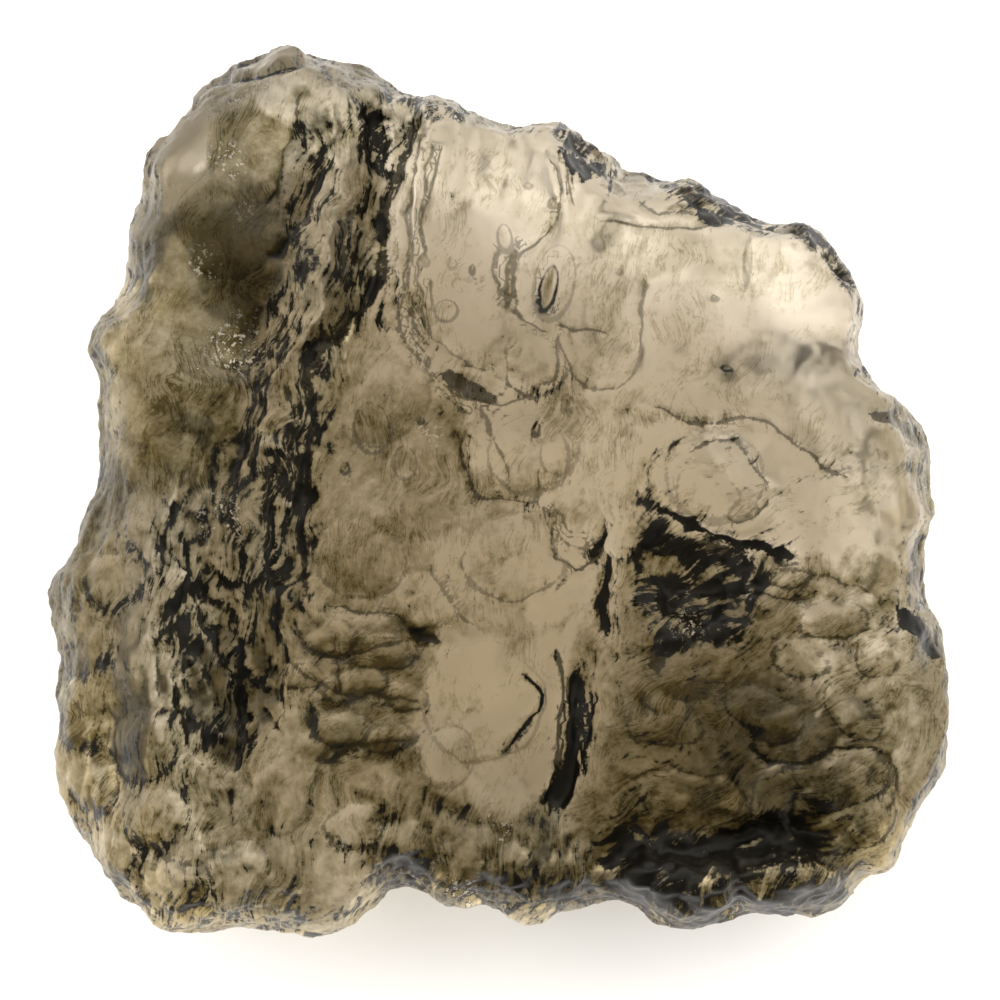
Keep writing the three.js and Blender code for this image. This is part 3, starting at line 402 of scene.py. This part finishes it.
# Smooth noise between -1 and 1, its lumps one size apart
def softNoise(points, size, seed):
    values = np.random.default_rng(seed).uniform(-1, 1, (64, 64))
    place = points / size + 32
    cell = np.floor(place).astype(int)
    part = place - cell
    x, y = (part * part * (3 - 2 * part)).T
    (left, low), (right, high) = (cell % 64).T, ((cell + 1) % 64).T
    near = values[left, low] * (1 - x) + values[right, low] * x
    far = values[left, high] * (1 - x) + values[right, high] * x
    return near * (1 - y) + far * y


# The same points shifted by noise, so that what is laid out with them has a ragged outline
def ragged(points, size, reach, seed):
    shift = np.stack([softNoise(points, size, seed), softNoise(points, size, seed + 1)], axis=1)
    return points + reach * shift


# Distance of each point to a path, less than zero on its right
def beside(points, path):
    nearest = np.full(len(points), np.inf)
    for start, end in zip(path[:-1], path[1:]):
        step = np.subtract(end, start)
        away = points - start
        along = np.clip(away @ step / (step @ step), 0, 1)
        offset = away - along[:, None] * step
        distance = np.hypot(offset[:, 0], offset[:, 1])
        left = step[0] * away[:, 1] >= step[1] * away[:, 0]
        nearest = np.where(distance < np.abs(nearest), np.where(left, distance, -distance), nearest)
    return nearest


def toPath(points, path):
    return np.abs(beside(points, path))


def inside(points, border):
    within = np.zeros(len(points), bool)
    for (x1, y1), (x2, y2) in zip(border, border[1:] + border[:1]):
        if y1 != y2:
            level = (points[:, 1] > min(y1, y2)) & (points[:, 1] <= max(y1, y2))
            meets = x1 + (points[:, 1] - y1) / (y2 - y1) * (x2 - x1)
            within ^= level & (points[:, 0] < meets)
    return within


# Moves the points towards the middle of their neighbours, each by its own share
def relax(points, edges, share, steps):
    first, second = edges.T
    count = len(points)
    neighbours = np.bincount(edges.ravel(), minlength=count)[:, None]
    for _ in range(steps):
        total = np.stack([np.bincount(first, column[second], count)
                          + np.bincount(second, column[first], count) for column in points.T], axis=1)
        points = points + share[:, None] * (total / neighbours - points)
    return points


# Up to this slope under the rim the skin has tones and relief
rimTurn = -0.75

# The foot under the pale right field is kept off the table, so that the field above it stays bright
liftedFoot = {
    "middle": (8.5, 2.2),
    "width": 3.2,
    "top": 1.4,
    "lift": 0.85,
    "evened": 5.0,
}


# Lays the tones, furrows, crests, lobes, bubbles and painted glints into the base mesh, on its upper face and
# rim, after evening out its calm skin and the flanks of its feet
def carve(stone):
    mesh = stone.data
    points = readPoints(mesh) / mm
    normals = readPoints(mesh, "normals")
    upper = normals[:, 2] > rimTurn
    up = normals[upper, 2]
    facing = np.clip(up * 2.5, 0, 1)
    spots = ragged(ragged(points[upper, :2], 1.3, 0.2, 1), 0.4, 0.08, 3)
    fields = ragged(ragged(points[upper, :2], 1.8, 0.6, 5), 0.5, 0.25, 7)
    count = len(spots)
    tones = {"olive": np.full(count, 0.4), "paintedShadeCover": np.full(count, 0.05), "across": np.zeros(count),
             "calm": np.full(count, 0.4)}
    for *values, softness, border in regions.values():
        distance = toPath(fields, border + border[:1])
        depth = np.clip(np.where(inside(fields, border), distance, -distance) / softness, -1, 1)
        share = 0.5 + 0.75 * depth - 0.25 * depth ** 3
        for name, value in zip(tones, values):
            tones[name] += (value - tones[name]) * share
    # The tones fade out where the rim turns under
    for name in ("olive", "paintedShadeCover"):
        tones[name] *= np.clip((up - rimTurn) * 2, 0, 1)
    tones["calm"] = np.minimum(tones["calm"], 0.15 + 1.2 * np.clip(up - 0.2, 0, 1))
    # How far each point is evened out
    edges = np.zeros(len(mesh.edges) * 2, np.int32)
    mesh.edges.foreach_get("vertices", edges)
    share = np.zeros(len(points))
    share[upper] = 0.6 * np.clip((tones["calm"] - 0.5) * 3, 0, 1) * np.clip((up - 0.5) * 4, 0, 1)
    flanks = (normals[:, 2] < -0.1) & (points[:, 2] > 0.3) & (points[:, 2] < 3.2)
    share[flanks] = 0.5 * np.clip(-2 * normals[flanks, 2], 0, 1)
    footDistance = np.hypot(*(points[:, :2] - liftedFoot["middle"]).T)
    under = (normals[:, 2] < 0) & (points[:, 2] < liftedFoot["top"])
    room = np.exp(-(footDistance / liftedFoot["width"]) ** 2) * (liftedFoot["top"] - points[:, 2])
    points[under, 2] += liftedFoot["lift"] * room[under]
    share[under & (footDistance < liftedFoot["evened"])] = 0.5
    points = relax(points, edges.reshape(-1, 2), share, 45)
    # Each point keeps the stroke that reaches it best: how far inside it lies (mark), its distance from
    # the middle line with a sign (offset), half the stroke's width (core), and how dark its painted shade is
    # (ink)
    height = np.zeros(count)
    hatch = np.zeros(count)
    lines = {"mark": np.full(count, -0.5), "offset": np.ones(count), "core": np.zeros(count),
             "ink": np.zeros(count)}

    def draw(offset, core, ink):
        mark = core - np.abs(offset)
        better = mark > lines["mark"]
        for name, value in {"mark": mark, "offset": offset, "core": core, "ink": ink}.items():
            lines[name] = np.where(better, value, lines[name])

    for width, depth, kept, path in furrows.values():
        offset = beside(spots, path)
        distance = np.abs(offset)
        height -= 0.8 * depth * np.exp(-(distance / width) ** 2)
        hatch = np.maximum(hatch, 0.58 * kept * np.exp(-(distance / (2.2 * width)) ** 2))
        draw(offset, 0.6 * width if kept > 0.75 else min(0.5 * width, 0.06), 0.3 + 0.7 * kept)
    for width, rise, path in crests.values():
        height += 0.7 * rise * np.exp(-(toPath(spots, path) / width) ** 2)
    for x, y, across, along, turn, rise, shade, kept in lobes.values():
        lean = math.radians(turn)
        dx, dy = spots[:, 0] - x, spots[:, 1] - y
        low = (dy * math.cos(lean) - dx * math.sin(lean)) / along
        reach = np.hypot((dx * math.cos(lean) + dy * math.sin(lean)) / across, low)
        size = min(across, along)
        cover = np.clip((1 - reach) * size / 0.12 + 0.5, 0, 1)
        height += 1.3 * rise * np.clip(1.1 - reach ** 2, 0, 1)
        # Painted light on the top of the lobe and painted shade at its foot, as if lit from the top of the
        # stone
        tones["olive"] += 1.4 * shade * (0.25 - low) * cover
        hatch *= 1 - 0.7 * cover * (reach < 0.8)
        offset = (reach - 1) * size
        distance = np.abs(offset)
        # The outline's painted shade is wider and darker at the lobe's foot
        draw(offset, 0.045 - 0.03 * np.clip(low, -0.5, 1), 1.3 * kept * np.clip(0.8 - 0.5 * low, 0, 1))
        hatch = np.maximum(hatch, kept * np.clip(0.5 - 0.6 * low, 0, 1) * np.exp(-(distance / 0.35) ** 2))
    for x, y, across, along, turn, depth, kept in bubbles.values():
        lean = math.radians(turn)
        dx, dy = points[upper, 0] - x, points[upper, 1] - y
        low = (dy * math.cos(lean) - dx * math.sin(lean)) / along
        reach = np.hypot((dx * math.cos(lean) + dy * math.sin(lean)) / across, low)
        height -= depth * np.clip(1 - reach ** 2, 0, 1)
        height += 0.2 * abs(depth) * np.exp(-((reach - 1.1) / 0.15) ** 2)
        offset = (reach - 1) * min(across, along)
        distance = np.abs(offset)
        # The rim's painted shade is wider and darker on its side towards the stone's foot
        draw(offset, 0.045 - 0.03 * np.clip(low, -0.6, 1), kept)
        hatch = np.maximum(hatch, 0.5 * kept * np.clip(0.3 - low, 0, 1) * np.exp(-(distance / 0.3) ** 2))
    paintedGlint = np.zeros(count)
    for x, y, size in paintedGlints.values():
        paintedGlint = np.maximum(paintedGlint, np.exp(-(np.hypot(spots[:, 0] - x, spots[:, 1] - y) / size) ** 4))
    points[upper] += normals[upper] * (height * facing)[:, None]
    mesh.vertices.foreach_set("co", (points * mm).astype(np.float32).ravel())
    fallback = {"calm": 0.5, "mark": -0.5, "offset": 1.0}
    for name, values in {**tones, **lines, "hatch": hatch * facing, "ink": lines["ink"] * facing,
                         "paintedGlint": paintedGlint}.items():
        spread = np.full(len(points), fallback.get(name, 0.0))
        spread[upper] = values
        layer = mesh.attributes.new(name, "FLOAT", "POINT")
        layer.data.foreach_set("value", spread.astype(np.float32))
    mesh.update()


# The etched skin. Sizes and depths are in mm.
skin = {
    "Cell size": 1.5,
    "Cell depth": 0.2,
    "Small cell size": 0.62,
    "Small cell depth": 0.16,
    "Fibre width": 0.42,
    "Fibre length": 2.6,
    "Fibre depth": 0.14,
    "Pit spacing": 1.0,
    "Pit depth": 0.08,
    "Lean": 0.22,
    "Seed": 7.0,
}


def makeEtching():
    tree = bpy.data.node_groups.new("etchedSkin", "GeometryNodeTree")
    tree.interface.new_socket("Geometry", in_out="INPUT", socket_type="NodeSocketGeometry")
    for name in skin:
        tree.interface.new_socket(name, in_out="INPUT", socket_type="NodeSocketFloat")
    tree.interface.new_socket("Material", in_out="INPUT", socket_type="NodeSocketMaterial")
    tree.interface.new_socket("Geometry", in_out="OUTPUT", socket_type="NodeSocketGeometry")
    given = tree.nodes.new("NodeGroupInput").outputs
    calm = addNode(tree, "GeometryNodeInputNamedAttribute", floats, {"Name": "calm"})
    across = addNode(tree, "GeometryNodeInputNamedAttribute", floats, {"Name": "across"})
    place = addNode(tree, "GeometryNodeInputPosition", {}, {})
    inMm = addNode(tree, "ShaderNodeVectorMath", {"operation": "SCALE"}, {0: place, "Scale": 1 / mm})
    bend = addNode(tree, "ShaderNodeTexNoise", {}, {"Vector": inMm, "Scale": 0.5, "Detail": 2.0}, "Color")
    bent = addNode(tree, "ShaderNodeVectorMath", {"operation": "MULTIPLY_ADD"}, [bend, (1.8,) * 3, inMm])
    seeded = addNode(tree, "ShaderNodeVectorMath", {"operation": "ADD"}, [bent, given["Seed"]])

    # Bowls that meet in sharp crests
    def bowls(size, depth):
        scaled = addNode(tree, "ShaderNodeVectorMath", {"operation": "DIVIDE"}, [seeded, size])
        reach = addNode(tree, "ShaderNodeTexVoronoi", {},
                        {"Vector": scaled, "Scale": 1.0, "Randomness": 0.95})
        square = addNode(tree, "ShaderNodeMath", {"operation": "POWER"}, [reach, 2.0])
        lowered = addNode(tree, "ShaderNodeMath", {"operation": "SUBTRACT"}, [square, 0.2])
        return addNode(tree, "ShaderNodeMath", {"operation": "MULTIPLY"}, [lowered, depth])

    # Sharp crested fibres that lean by a share of their length
    def fibres(lean, turn):
        turned = addNode(tree, "ShaderNodeVectorRotate", {"rotation_type": "Z_AXIS"},
                         {"Vector": bent, "Angle": math.radians(turn)})
        axes = addNode(tree, "ShaderNodeSeparateXYZ", {}, [turned], "X").node.outputs
        shift = addNode(tree, "ShaderNodeMath", {"operation": "MULTIPLY"}, [axes["Y"], lean])
        leant = addNode(tree, "ShaderNodeMath", {"operation": "SUBTRACT"}, [axes["X"], shift])
        thin = addNode(tree, "ShaderNodeMath", {"operation": "DIVIDE"}, [leant, given["Fibre width"]])
        long = addNode(tree, "ShaderNodeMath", {"operation": "DIVIDE"}, [axes["Y"], given["Fibre length"]])
        high = addNode(tree, "ShaderNodeMath", {"operation": "DIVIDE"}, [axes["Z"], given["Fibre width"]])
        strand = addNode(tree, "ShaderNodeCombineXYZ", {}, [thin, long, high])
        noise = addNode(tree, "ShaderNodeTexNoise", {},
                        {"Vector": strand, "Scale": 0.5, "Detail": 3.0, "Roughness": 0.6})
        middle = addNode(tree, "ShaderNodeMath", {"operation": "SUBTRACT"}, [noise, 0.5])
        folded = addNode(tree, "ShaderNodeMath", {"operation": "ABSOLUTE"}, [middle])
        return addNode(tree, "ShaderNodeMath", {"operation": "MULTIPLY_ADD"}, [folded, -5.0, 0.5])

    along = fibres(given["Lean"], 0)
    sideways = fibres(0.0, 62)
    woven = addNode(tree, "ShaderNodeMix", floats, [across, None, along, sideways])
    strands = addNode(tree, "ShaderNodeMath", {"operation": "MULTIPLY"}, [woven, given["Fibre depth"]])
    spacing = addNode(tree, "ShaderNodeVectorMath", {"operation": "DIVIDE"}, [bent, given["Pit spacing"]])
    pit = addNode(tree, "ShaderNodeTexVoronoi", {}, {"Vector": spacing, "Scale": 1.0})
    pitShape = addNode(tree, "ShaderNodeMapRange", smooth, [pit, 0.1, 0.26, -1.0, 0.0])
    pits = addNode(tree, "ShaderNodeMath", {"operation": "MULTIPLY"}, [pitShape, given["Pit depth"]])
    total = bowls(given["Cell size"], given["Cell depth"])
    for part in (bowls(given["Small cell size"], given["Small cell depth"]), strands, pits):
        total = addNode(tree, "ShaderNodeMath", {"operation": "ADD"}, [total, part])
    lively = addNode(tree, "ShaderNodeMath", {"operation": "MULTIPLY_ADD"}, [calm, -0.85, 1.0])
    total = addNode(tree, "ShaderNodeMath", {"operation": "MULTIPLY"}, [total, lively])
    height = addNode(tree, "ShaderNodeSeparateXYZ", {}, [inMm], "Z")
    heel = addNode(tree, "ShaderNodeMapRange", {}, [height, 0.05, 0.6, 0.0, mm])
    rise = addNode(tree, "ShaderNodeMath", {"operation": "MULTIPLY"}, [total, heel])
    normal = addNode(tree, "GeometryNodeInputNormal", {}, {})
    offset = addNode(tree, "ShaderNodeVectorMath", {"operation": "SCALE"}, {0: normal, "Scale": rise})
    # How far each point lies below its near surroundings, with a little of the broad relief: for painted
    # shade in the hollows and painted highlights on the crests
    relief = addNode(tree, "ShaderNodeMath", {"operation": "ADD"}, [total, height])
    near = addNode(tree, "GeometryNodeBlurAttribute", floats, {0: relief, "Iterations": 5})
    far = addNode(tree, "GeometryNodeBlurAttribute", floats, {0: near, "Iterations": 40})
    fine = addNode(tree, "ShaderNodeMath", {"operation": "SUBTRACT"}, [near, relief])
    broad = addNode(tree, "ShaderNodeMath", {"operation": "SUBTRACT"}, [far, near])
    hollow = addNode(tree, "ShaderNodeMath", {"operation": "MULTIPLY_ADD"}, [broad, 0.06, fine])
    kept = addNode(tree, "GeometryNodeStoreNamedAttribute", onPoints,
                   {"Geometry": given["Geometry"], "Name": "hollow", "Value": hollow})
    moved = addNode(tree, "GeometryNodeSetPosition", {}, {"Geometry": kept, "Offset": offset})
    # Slopes of the relief, fewer on the walls of the rim, for painted shade on steep faces
    facing = addNode(tree, "GeometryNodeInputNormal", {}, {})
    towards = addNode(tree, "ShaderNodeSeparateXYZ", {}, [facing], "X").node.outputs
    upright = towards["Z"]
    slope = addNode(tree, "ShaderNodeMapRange", smooth, [upright, 0.5, 0.9, 1.0, 0.0])
    wall = addNode(tree, "ShaderNodeMapRange", smooth, [upright, 0.1, 0.5, 0.2, 1.0])
    paintedSlopeShade = addNode(tree, "ShaderNodeMath", {"operation": "MULTIPLY"}, [slope, wall])
    # Painted light from the top of the stone and a little from the left: faces turned that way are painted
    # lighter and faces turned away darker, each against its broad surroundings
    lit = addNode(tree, "ShaderNodeMath", {"operation": "MULTIPLY_ADD"}, [towards["X"], -0.45, towards["Y"]])
    large = addNode(tree, "GeometryNodeBlurAttribute", floats, {0: lit, "Iterations": 60})
    small = addNode(tree, "ShaderNodeMath", {"operation": "MULTIPLY_ADD"}, [large, -0.85, lit])
    paintedLightFacing = addNode(tree, "ShaderNodeMapRange", {}, [small, -0.6, 0.6, -0.6, 0.6])
    for name, value in {"paintedSlopeShade": paintedSlopeShade, "paintedLightFacing": paintedLightFacing}.items():
        moved = addNode(tree, "GeometryNodeStoreNamedAttribute", onPoints,
                        {"Geometry": moved, "Name": name, "Value": value})
    shaded = addNode(tree, "GeometryNodeSetShadeSmooth", {}, {"Geometry": moved})
    real = addNode(tree, "GeometryNodeRealizeInstances", {}, {"Geometry": shaded})
    finished = addNode(tree, "GeometryNodeSetMaterial", {}, {"Geometry": real, "Material": given["Material"]})
    addNode(tree, "NodeGroupOutput", {}, {"Geometry": finished})
    return tree


def etch(stone, material):
    tree = makeEtching()
    modifier = stone.modifiers.new("etchedSkin", "NODES")
    modifier.node_group = tree
    for socket in tree.interface.items_tree:
        if socket.in_out == "INPUT" and socket.name in skin:
            modifier[socket.identifier] = skin[socket.name]
        if socket.in_out == "INPUT" and socket.name == "Material":
            modifier[socket.identifier] = material
    makePlain(stone)


# Natural glass with an etched skin: pale beige where it is thin and smooth, olive through its body,
# satin outside, and streaked with painted black-brown shade where deep gullies turn the light away
glass = {
    "clear": "#eae2d6",
    "olive": "#1f1806",
    "deepening": (2.1, 2.2, 2.8),
    "gloom": "#010101",
    "paintedGlint": "#ffffff",
    "absorbed": (0.75, 0.6, 0.2),
    "density": 25.0,
    "ior": 1.49,
    "mirrored": (0.12, 0.115, 0.1),
    "roughness": (0.31, 0.285),
    "threads": (0.04, 0.22),
    "hatching": (0.42, 0.85),
    "strokeBorder": (-0.025, 0.03),
    "crumbs": (0.57, 0.64),
    "streakWidth": 0.1 * mm,
    "streakLength": 0.75 * mm,
    "streakHeight": 0.4 * mm,
    "grain": 0.1 * mm,
    "lobe": 2.6 * mm,
}


def makeGlass():
    material = bpy.data.materials.new("etchedNaturalGlass")
    material.use_nodes = True
    tree = material.node_tree
    tree.nodes.clear()
    olive, paintedShadeCover, hatch, mark, offset, core, ink, across, calm, paintedGlint, hollow, paintedSlopeShade, paintedLightFacing = (
        addNode(tree, "ShaderNodeAttribute", {"attribute_name": name}, {}, "Fac")
        for name in ("olive", "paintedShadeCover", "hatch", "mark", "offset", "core", "ink", "across", "calm", "paintedGlint",
                     "hollow", "paintedSlopeShade", "paintedLightFacing"))
    place = addNode(tree, "ShaderNodeTexCoord", {}, {}, "Object")
    bend = addNode(tree, "ShaderNodeTexNoise", {"noise_dimensions": "2D"},
                   {"Vector": place, "Scale": 0.5 / mm, "Detail": 1.0}, "Color")
    bent = addNode(tree, "ShaderNodeVectorMath", {"operation": "MULTIPLY_ADD"},
                   [bend, (1.5 * mm,) * 3, place])

    # Streaks between about -1 and 1, turned by some degrees from the stone's length
    def streaks(turn):
        turned = addNode(tree, "ShaderNodeVectorRotate", {"rotation_type": "Z_AXIS"},
                         {"Vector": bent, "Angle": math.radians(turn)})
        drawn = addNode(tree, "ShaderNodeVectorMath", {"operation": "DIVIDE"}, [
            turned, (glass["streakWidth"], glass["streakLength"], glass["streakHeight"])])
        noise = addNode(tree, "ShaderNodeTexNoise", {},
                        {"Vector": drawn, "Scale": 0.55, "Detail": 3.0, "Roughness": 0.6})
        return addNode(tree, "ShaderNodeMath", {"operation": "MULTIPLY_ADD"}, [noise, 5.0, -2.5])

    streak = addNode(tree, "ShaderNodeMix", floats, [across, None, streaks(12), streaks(58)])
    grain = addNode(tree, "ShaderNodeTexNoise", {},
                    {"Vector": place, "Scale": 0.6 / glass["grain"], "Detail": 3.0, "Roughness": 0.6})
    blotch = addNode(tree, "ShaderNodeTexNoise", {"noise_dimensions": "2D"},
                     {"Vector": bent, "Scale": 0.55 / mm, "Detail": 4.0, "Roughness": 0.6})
    lobe = addNode(tree, "ShaderNodeTexVoronoi", {"voronoi_dimensions": "2D", "feature": "DISTANCE_TO_EDGE"},
                   {"Vector": bent, "Scale": 1 / glass["lobe"]})
    seam = addNode(tree, "ShaderNodeMapRange", smooth, [lobe, 0.0, 0.16, 1.0, 0.0])
    rough = addNode(tree, "ShaderNodeMath", {"operation": "SUBTRACT"}, [1.15, calm])
    # Body tint with painted shade in the hollows and towards the seams between lobes, painted highlights on
    # the crests and painted light on faces turned to the top and left
    ribbed = addNode(tree, "ShaderNodeMath", {"operation": "MULTIPLY"}, [rough, -0.11])
    ribs = addNode(tree, "ShaderNodeMath", {"operation": "MULTIPLY_ADD"}, [streak, ribbed, 1.4])
    level = addNode(tree, "ShaderNodeMath", {"operation": "ABSOLUTE"}, [streak])
    thread = addNode(tree, "ShaderNodeMapRange", smooth, [level, *glass["threads"], 1.0, 0.0])
    scored = addNode(tree, "ShaderNodeMapRange", smooth, [blotch, 0.38, 0.62, -0.02, -0.26])
    fine = addNode(tree, "ShaderNodeMath", {"operation": "MULTIPLY_ADD"}, [thread, scored, ribs])
    gritty = addNode(tree, "ShaderNodeMath", {"operation": "MULTIPLY_ADD"}, [grain, -0.5, 0.25])
    textured = addNode(tree, "ShaderNodeMath", {"operation": "ADD"}, [fine, gritty])
    withPaintedLight = addNode(tree, "ShaderNodeMath", {"operation": "MULTIPLY_ADD"}, [paintedLightFacing, 0.42, textured])
    shaded = addNode(tree, "ShaderNodeMath", {"operation": "MULTIPLY_ADD"}, [hollow, -4.0, withPaintedLight])
    lobed = addNode(tree, "ShaderNodeMath", {"operation": "MULTIPLY_ADD"}, [seam, -0.1, shaded])
    mottled = addNode(tree, "ShaderNodeMath", {"operation": "MULTIPLY_ADD"}, [blotch, -0.4, lobed])
    paler = addNode(tree, "ShaderNodeMath", {"operation": "SUBTRACT", "use_clamp": True}, [mottled, olive])
    deepened = [addNode(tree, "ShaderNodeMath", {"operation": "POWER"}, [paler, power])
                for power in glass["deepening"]]
    left = addNode(tree, "ShaderNodeCombineXYZ", {}, deepened)
    body = addNode(tree, "ShaderNodeMix", {"data_type": "VECTOR", "factor_mode": "NON_UNIFORM"},
                   {1: left, 4: linear(glass["olive"])[:3], 5: linear(glass["clear"])[:3]}, 1)
    # Painted shade, hatched like etching: in the shaded regions, round the strokes, in the seams and on the
    # relief
    paintedHollowShade = addNode(tree, "ShaderNodeMapRange", {}, [hollow, 0.0, 0.08, 0.0, 0.55])
    relief = addNode(tree, "ShaderNodeMath", {"operation": "MULTIPLY_ADD"}, [paintedSlopeShade, 0.45, paintedHollowShade])
    seamed = addNode(tree, "ShaderNodeMath", {"operation": "MULTIPLY_ADD"}, [seam, 0.3, relief])
    livened = addNode(tree, "ShaderNodeMath", {"operation": "MULTIPLY"}, [seamed, rough])
    paintedFacingShade = addNode(tree, "ShaderNodeMath", {"operation": "MULTIPLY_ADD"}, [paintedLightFacing, -0.35, livened])
    paintedShadeCoverAll = addNode(tree, "ShaderNodeMath", {"operation": "ADD"}, [paintedShadeCover, paintedFacingShade])
    amount = addNode(tree, "ShaderNodeMath", {"operation": "MAXIMUM"}, [hatch, paintedShadeCoverAll])
    swing = addNode(tree, "ShaderNodeMath", {"operation": "MULTIPLY_ADD"}, [calm, -0.32, 0.6])
    uneven = addNode(tree, "ShaderNodeMath", {"operation": "MULTIPLY_ADD"}, [streak, swing, amount])
    grainy = addNode(tree, "ShaderNodeMath", {"operation": "MULTIPLY_ADD"}, [grain, 1.0, -0.5])
    total = addNode(tree, "ShaderNodeMath", {"operation": "ADD"}, [uneven, grainy])
    hatched = addNode(tree, "ShaderNodeMapRange", smooth, [total, *glass["hatching"], 0.0, 1.0])
    # Painted shade in strokes with a crisp, slightly ragged border
    away = addNode(tree, "ShaderNodeMath", {"operation": "ABSOLUTE"}, [offset])
    within = addNode(tree, "ShaderNodeMath", {"operation": "SUBTRACT"}, [core, away])
    near = addNode(tree, "ShaderNodeMath", {"operation": "ADD"}, [mark, 0.12])
    edge = addNode(tree, "ShaderNodeMath", {"operation": "MINIMUM"}, [within, near])
    flat = addNode(tree, "ShaderNodeMath", {"operation": "MINIMUM"}, [edge, 0.09])
    roughness = addNode(tree, "ShaderNodeMath", {"operation": "MULTIPLY"}, [rough, rough])
    raggedness = addNode(tree, "ShaderNodeMath", {"operation": "MULTIPLY"}, [roughness, 0.4])
    torn = addNode(tree, "ShaderNodeMath", {"operation": "MULTIPLY_ADD"}, [grainy, raggedness, flat])
    combing = addNode(tree, "ShaderNodeMath", {"operation": "MULTIPLY"}, [roughness, 0.12])
    combed = addNode(tree, "ShaderNodeMath", {"operation": "MULTIPLY_ADD"}, [streak, combing, torn])
    drawn = addNode(tree, "ShaderNodeMapRange", smooth, [combed, *glass["strokeBorder"], 0.0, 1.0])
    strength = addNode(tree, "ShaderNodeMath", {"operation": "POWER"}, [ink, 0.6])
    stroke = addNode(tree, "ShaderNodeMath", {"operation": "MULTIPLY"}, [drawn, strength])
    dark = addNode(tree, "ShaderNodeMath", {"operation": "MAXIMUM"}, [hatched, stroke])
    withPaintedShade = addNode(tree, "ShaderNodeMix", {"data_type": "RGBA"},
                     {0: dark, 6: body, 7: linear(glass["gloom"])}, 2)
    # Painted glints: white crumbs
    crumb = addNode(tree, "ShaderNodeMath", {"operation": "MULTIPLY_ADD"}, [streak, 0.06, grain])
    point = addNode(tree, "ShaderNodeMapRange", smooth, [crumb, *glass["crumbs"], 0.0, 1.0])
    glintCover = addNode(tree, "ShaderNodeMath", {"operation": "MULTIPLY"}, [point, paintedGlint])
    colour = addNode(tree, "ShaderNodeMix", {"data_type": "RGBA"},
                     {0: glintCover, 6: withPaintedShade, 7: linear(glass["paintedGlint"])}, 2)
    satin = addNode(tree, "ShaderNodeMapRange", {}, [calm, 0.0, 1.0, *glass["roughness"]])
    shader = addNode(tree, "ShaderNodeBsdfPrincipled", {}, {
        "Base Color": colour, "Roughness": satin, "IOR": glass["ior"], "Transmission Weight": 1.0,
        "Specular Tint": (*glass["mirrored"], 1.0)})
    volume = addNode(tree, "ShaderNodeVolumeAbsorption", {}, {
        "Color": (*glass["absorbed"], 1.0), "Density": glass["density"]})
    addNode(tree, "ShaderNodeOutputMaterial", {}, {"Surface": shader, "Volume": volume})
    return material


table = {
    "half": 1.5,
    "white": "#f2f1ef",
    "roughness": 0.7,
}


def makeFloor():
    mesh = bpy.data.meshes.new("floor")
    half = table["half"]
    corners = [(-half, -half, 0), (half, -half, 0), (half, half, 0), (-half, half, 0)]
    mesh.from_pydata(corners, [], [(0, 1, 2, 3)])
    floor = bpy.data.objects.new("floor", mesh)
    scene.collection.objects.link(floor)
    material = bpy.data.materials.new("whiteTable")
    material.use_nodes = True
    shader = material.node_tree.nodes["Principled BSDF"]
    shader.inputs["Base Color"].default_value = linear(table["white"])
    shader.inputs["Roughness"].default_value = table["roughness"]
    mesh.materials.append(material)


# A white light tent with a dark opening overhead, where the camera looks in, so that the top of the stone
# mirrors nothing. It is brightest behind the pointed end, and the soft shadow falls on the other side.
studio = {
    "openingTop": 0.97,
    "openingEdge": 0.8,
    "overhead": 0.3,
    "tent": 2.8,
    "horizon": 0.5,
    "fromBehind": 0.95,
    "warmth": (1.0, 0.98, 0.955, 1.0),
}


def makeLights():
    world = bpy.data.worlds.new("lightTent")
    world.use_nodes = True
    tree = world.node_tree
    tree.nodes.clear()
    direction = addNode(tree, "ShaderNodeTexCoord", {}, {}, "Generated")
    axes = addNode(tree, "ShaderNodeSeparateXYZ", {}, [direction], "X").node.outputs
    wall = addNode(tree, "ShaderNodeMapRange", smooth, [
        axes["Z"], studio["openingEdge"], studio["openingTop"], studio["tent"], studio["overhead"]])
    side = addNode(tree, "ShaderNodeMath", {"operation": "MULTIPLY_ADD"},
                   [axes["Y"], studio["fromBehind"], 1.0])
    low = addNode(tree, "ShaderNodeMapRange", smooth, [
        axes["Z"], 0.05, 0.25, studio["horizon"], 1.0])
    evened = addNode(tree, "ShaderNodeMath", {"operation": "MULTIPLY"}, [wall, low])
    strength = addNode(tree, "ShaderNodeMath", {"operation": "MULTIPLY"}, [evened, side])
    light = addNode(tree, "ShaderNodeBackground", {}, {"Color": studio["warmth"], "Strength": strength})
    addNode(tree, "ShaderNodeOutputWorld", {}, {"Surface": light})
    # The tent is even, so light found by the glass's own rays is smoother than light aimed at
    world.cycles.sampling_method = "NONE"
    scene.world = world


camera = {
    "lens": 150.0,
    "sensor": 36.0,
    "nearest": 5.0 * mm,
    "frameWidth": 33.19 * mm,
    "aimHeight": 6.0 * mm,
    "middle": (-0.03 * mm, -0.32 * mm),
}


def makeCamera():
    data = bpy.data.cameras.new("camera")
    data.lens = camera["lens"]
    data.sensor_width = camera["sensor"]
    data.clip_start = camera["nearest"]
    distance = camera["frameWidth"] * camera["lens"] / camera["sensor"]
    viewer = bpy.data.objects.new("camera", data)
    viewer.location = (*camera["middle"], camera["aimHeight"] + distance)
    scene.collection.objects.link(viewer)
    scene.camera = viewer


makeCamera()
makeFloor()
makeLights()
scene.view_settings.view_transform = "Standard"
scene.cycles.max_bounces = 7
scene.cycles.caustics_reflective = False
print("base mesh")
stone = makeBase()
print("carving", len(stone.data.vertices))
carve(stone)
print("etching")
etch(stone, makeGlass())
mesh = stone.data
mesh.calc_loop_triangles()
print("triangles", len(mesh.loop_triangles))
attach(stone, "root")
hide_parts("moldavite")
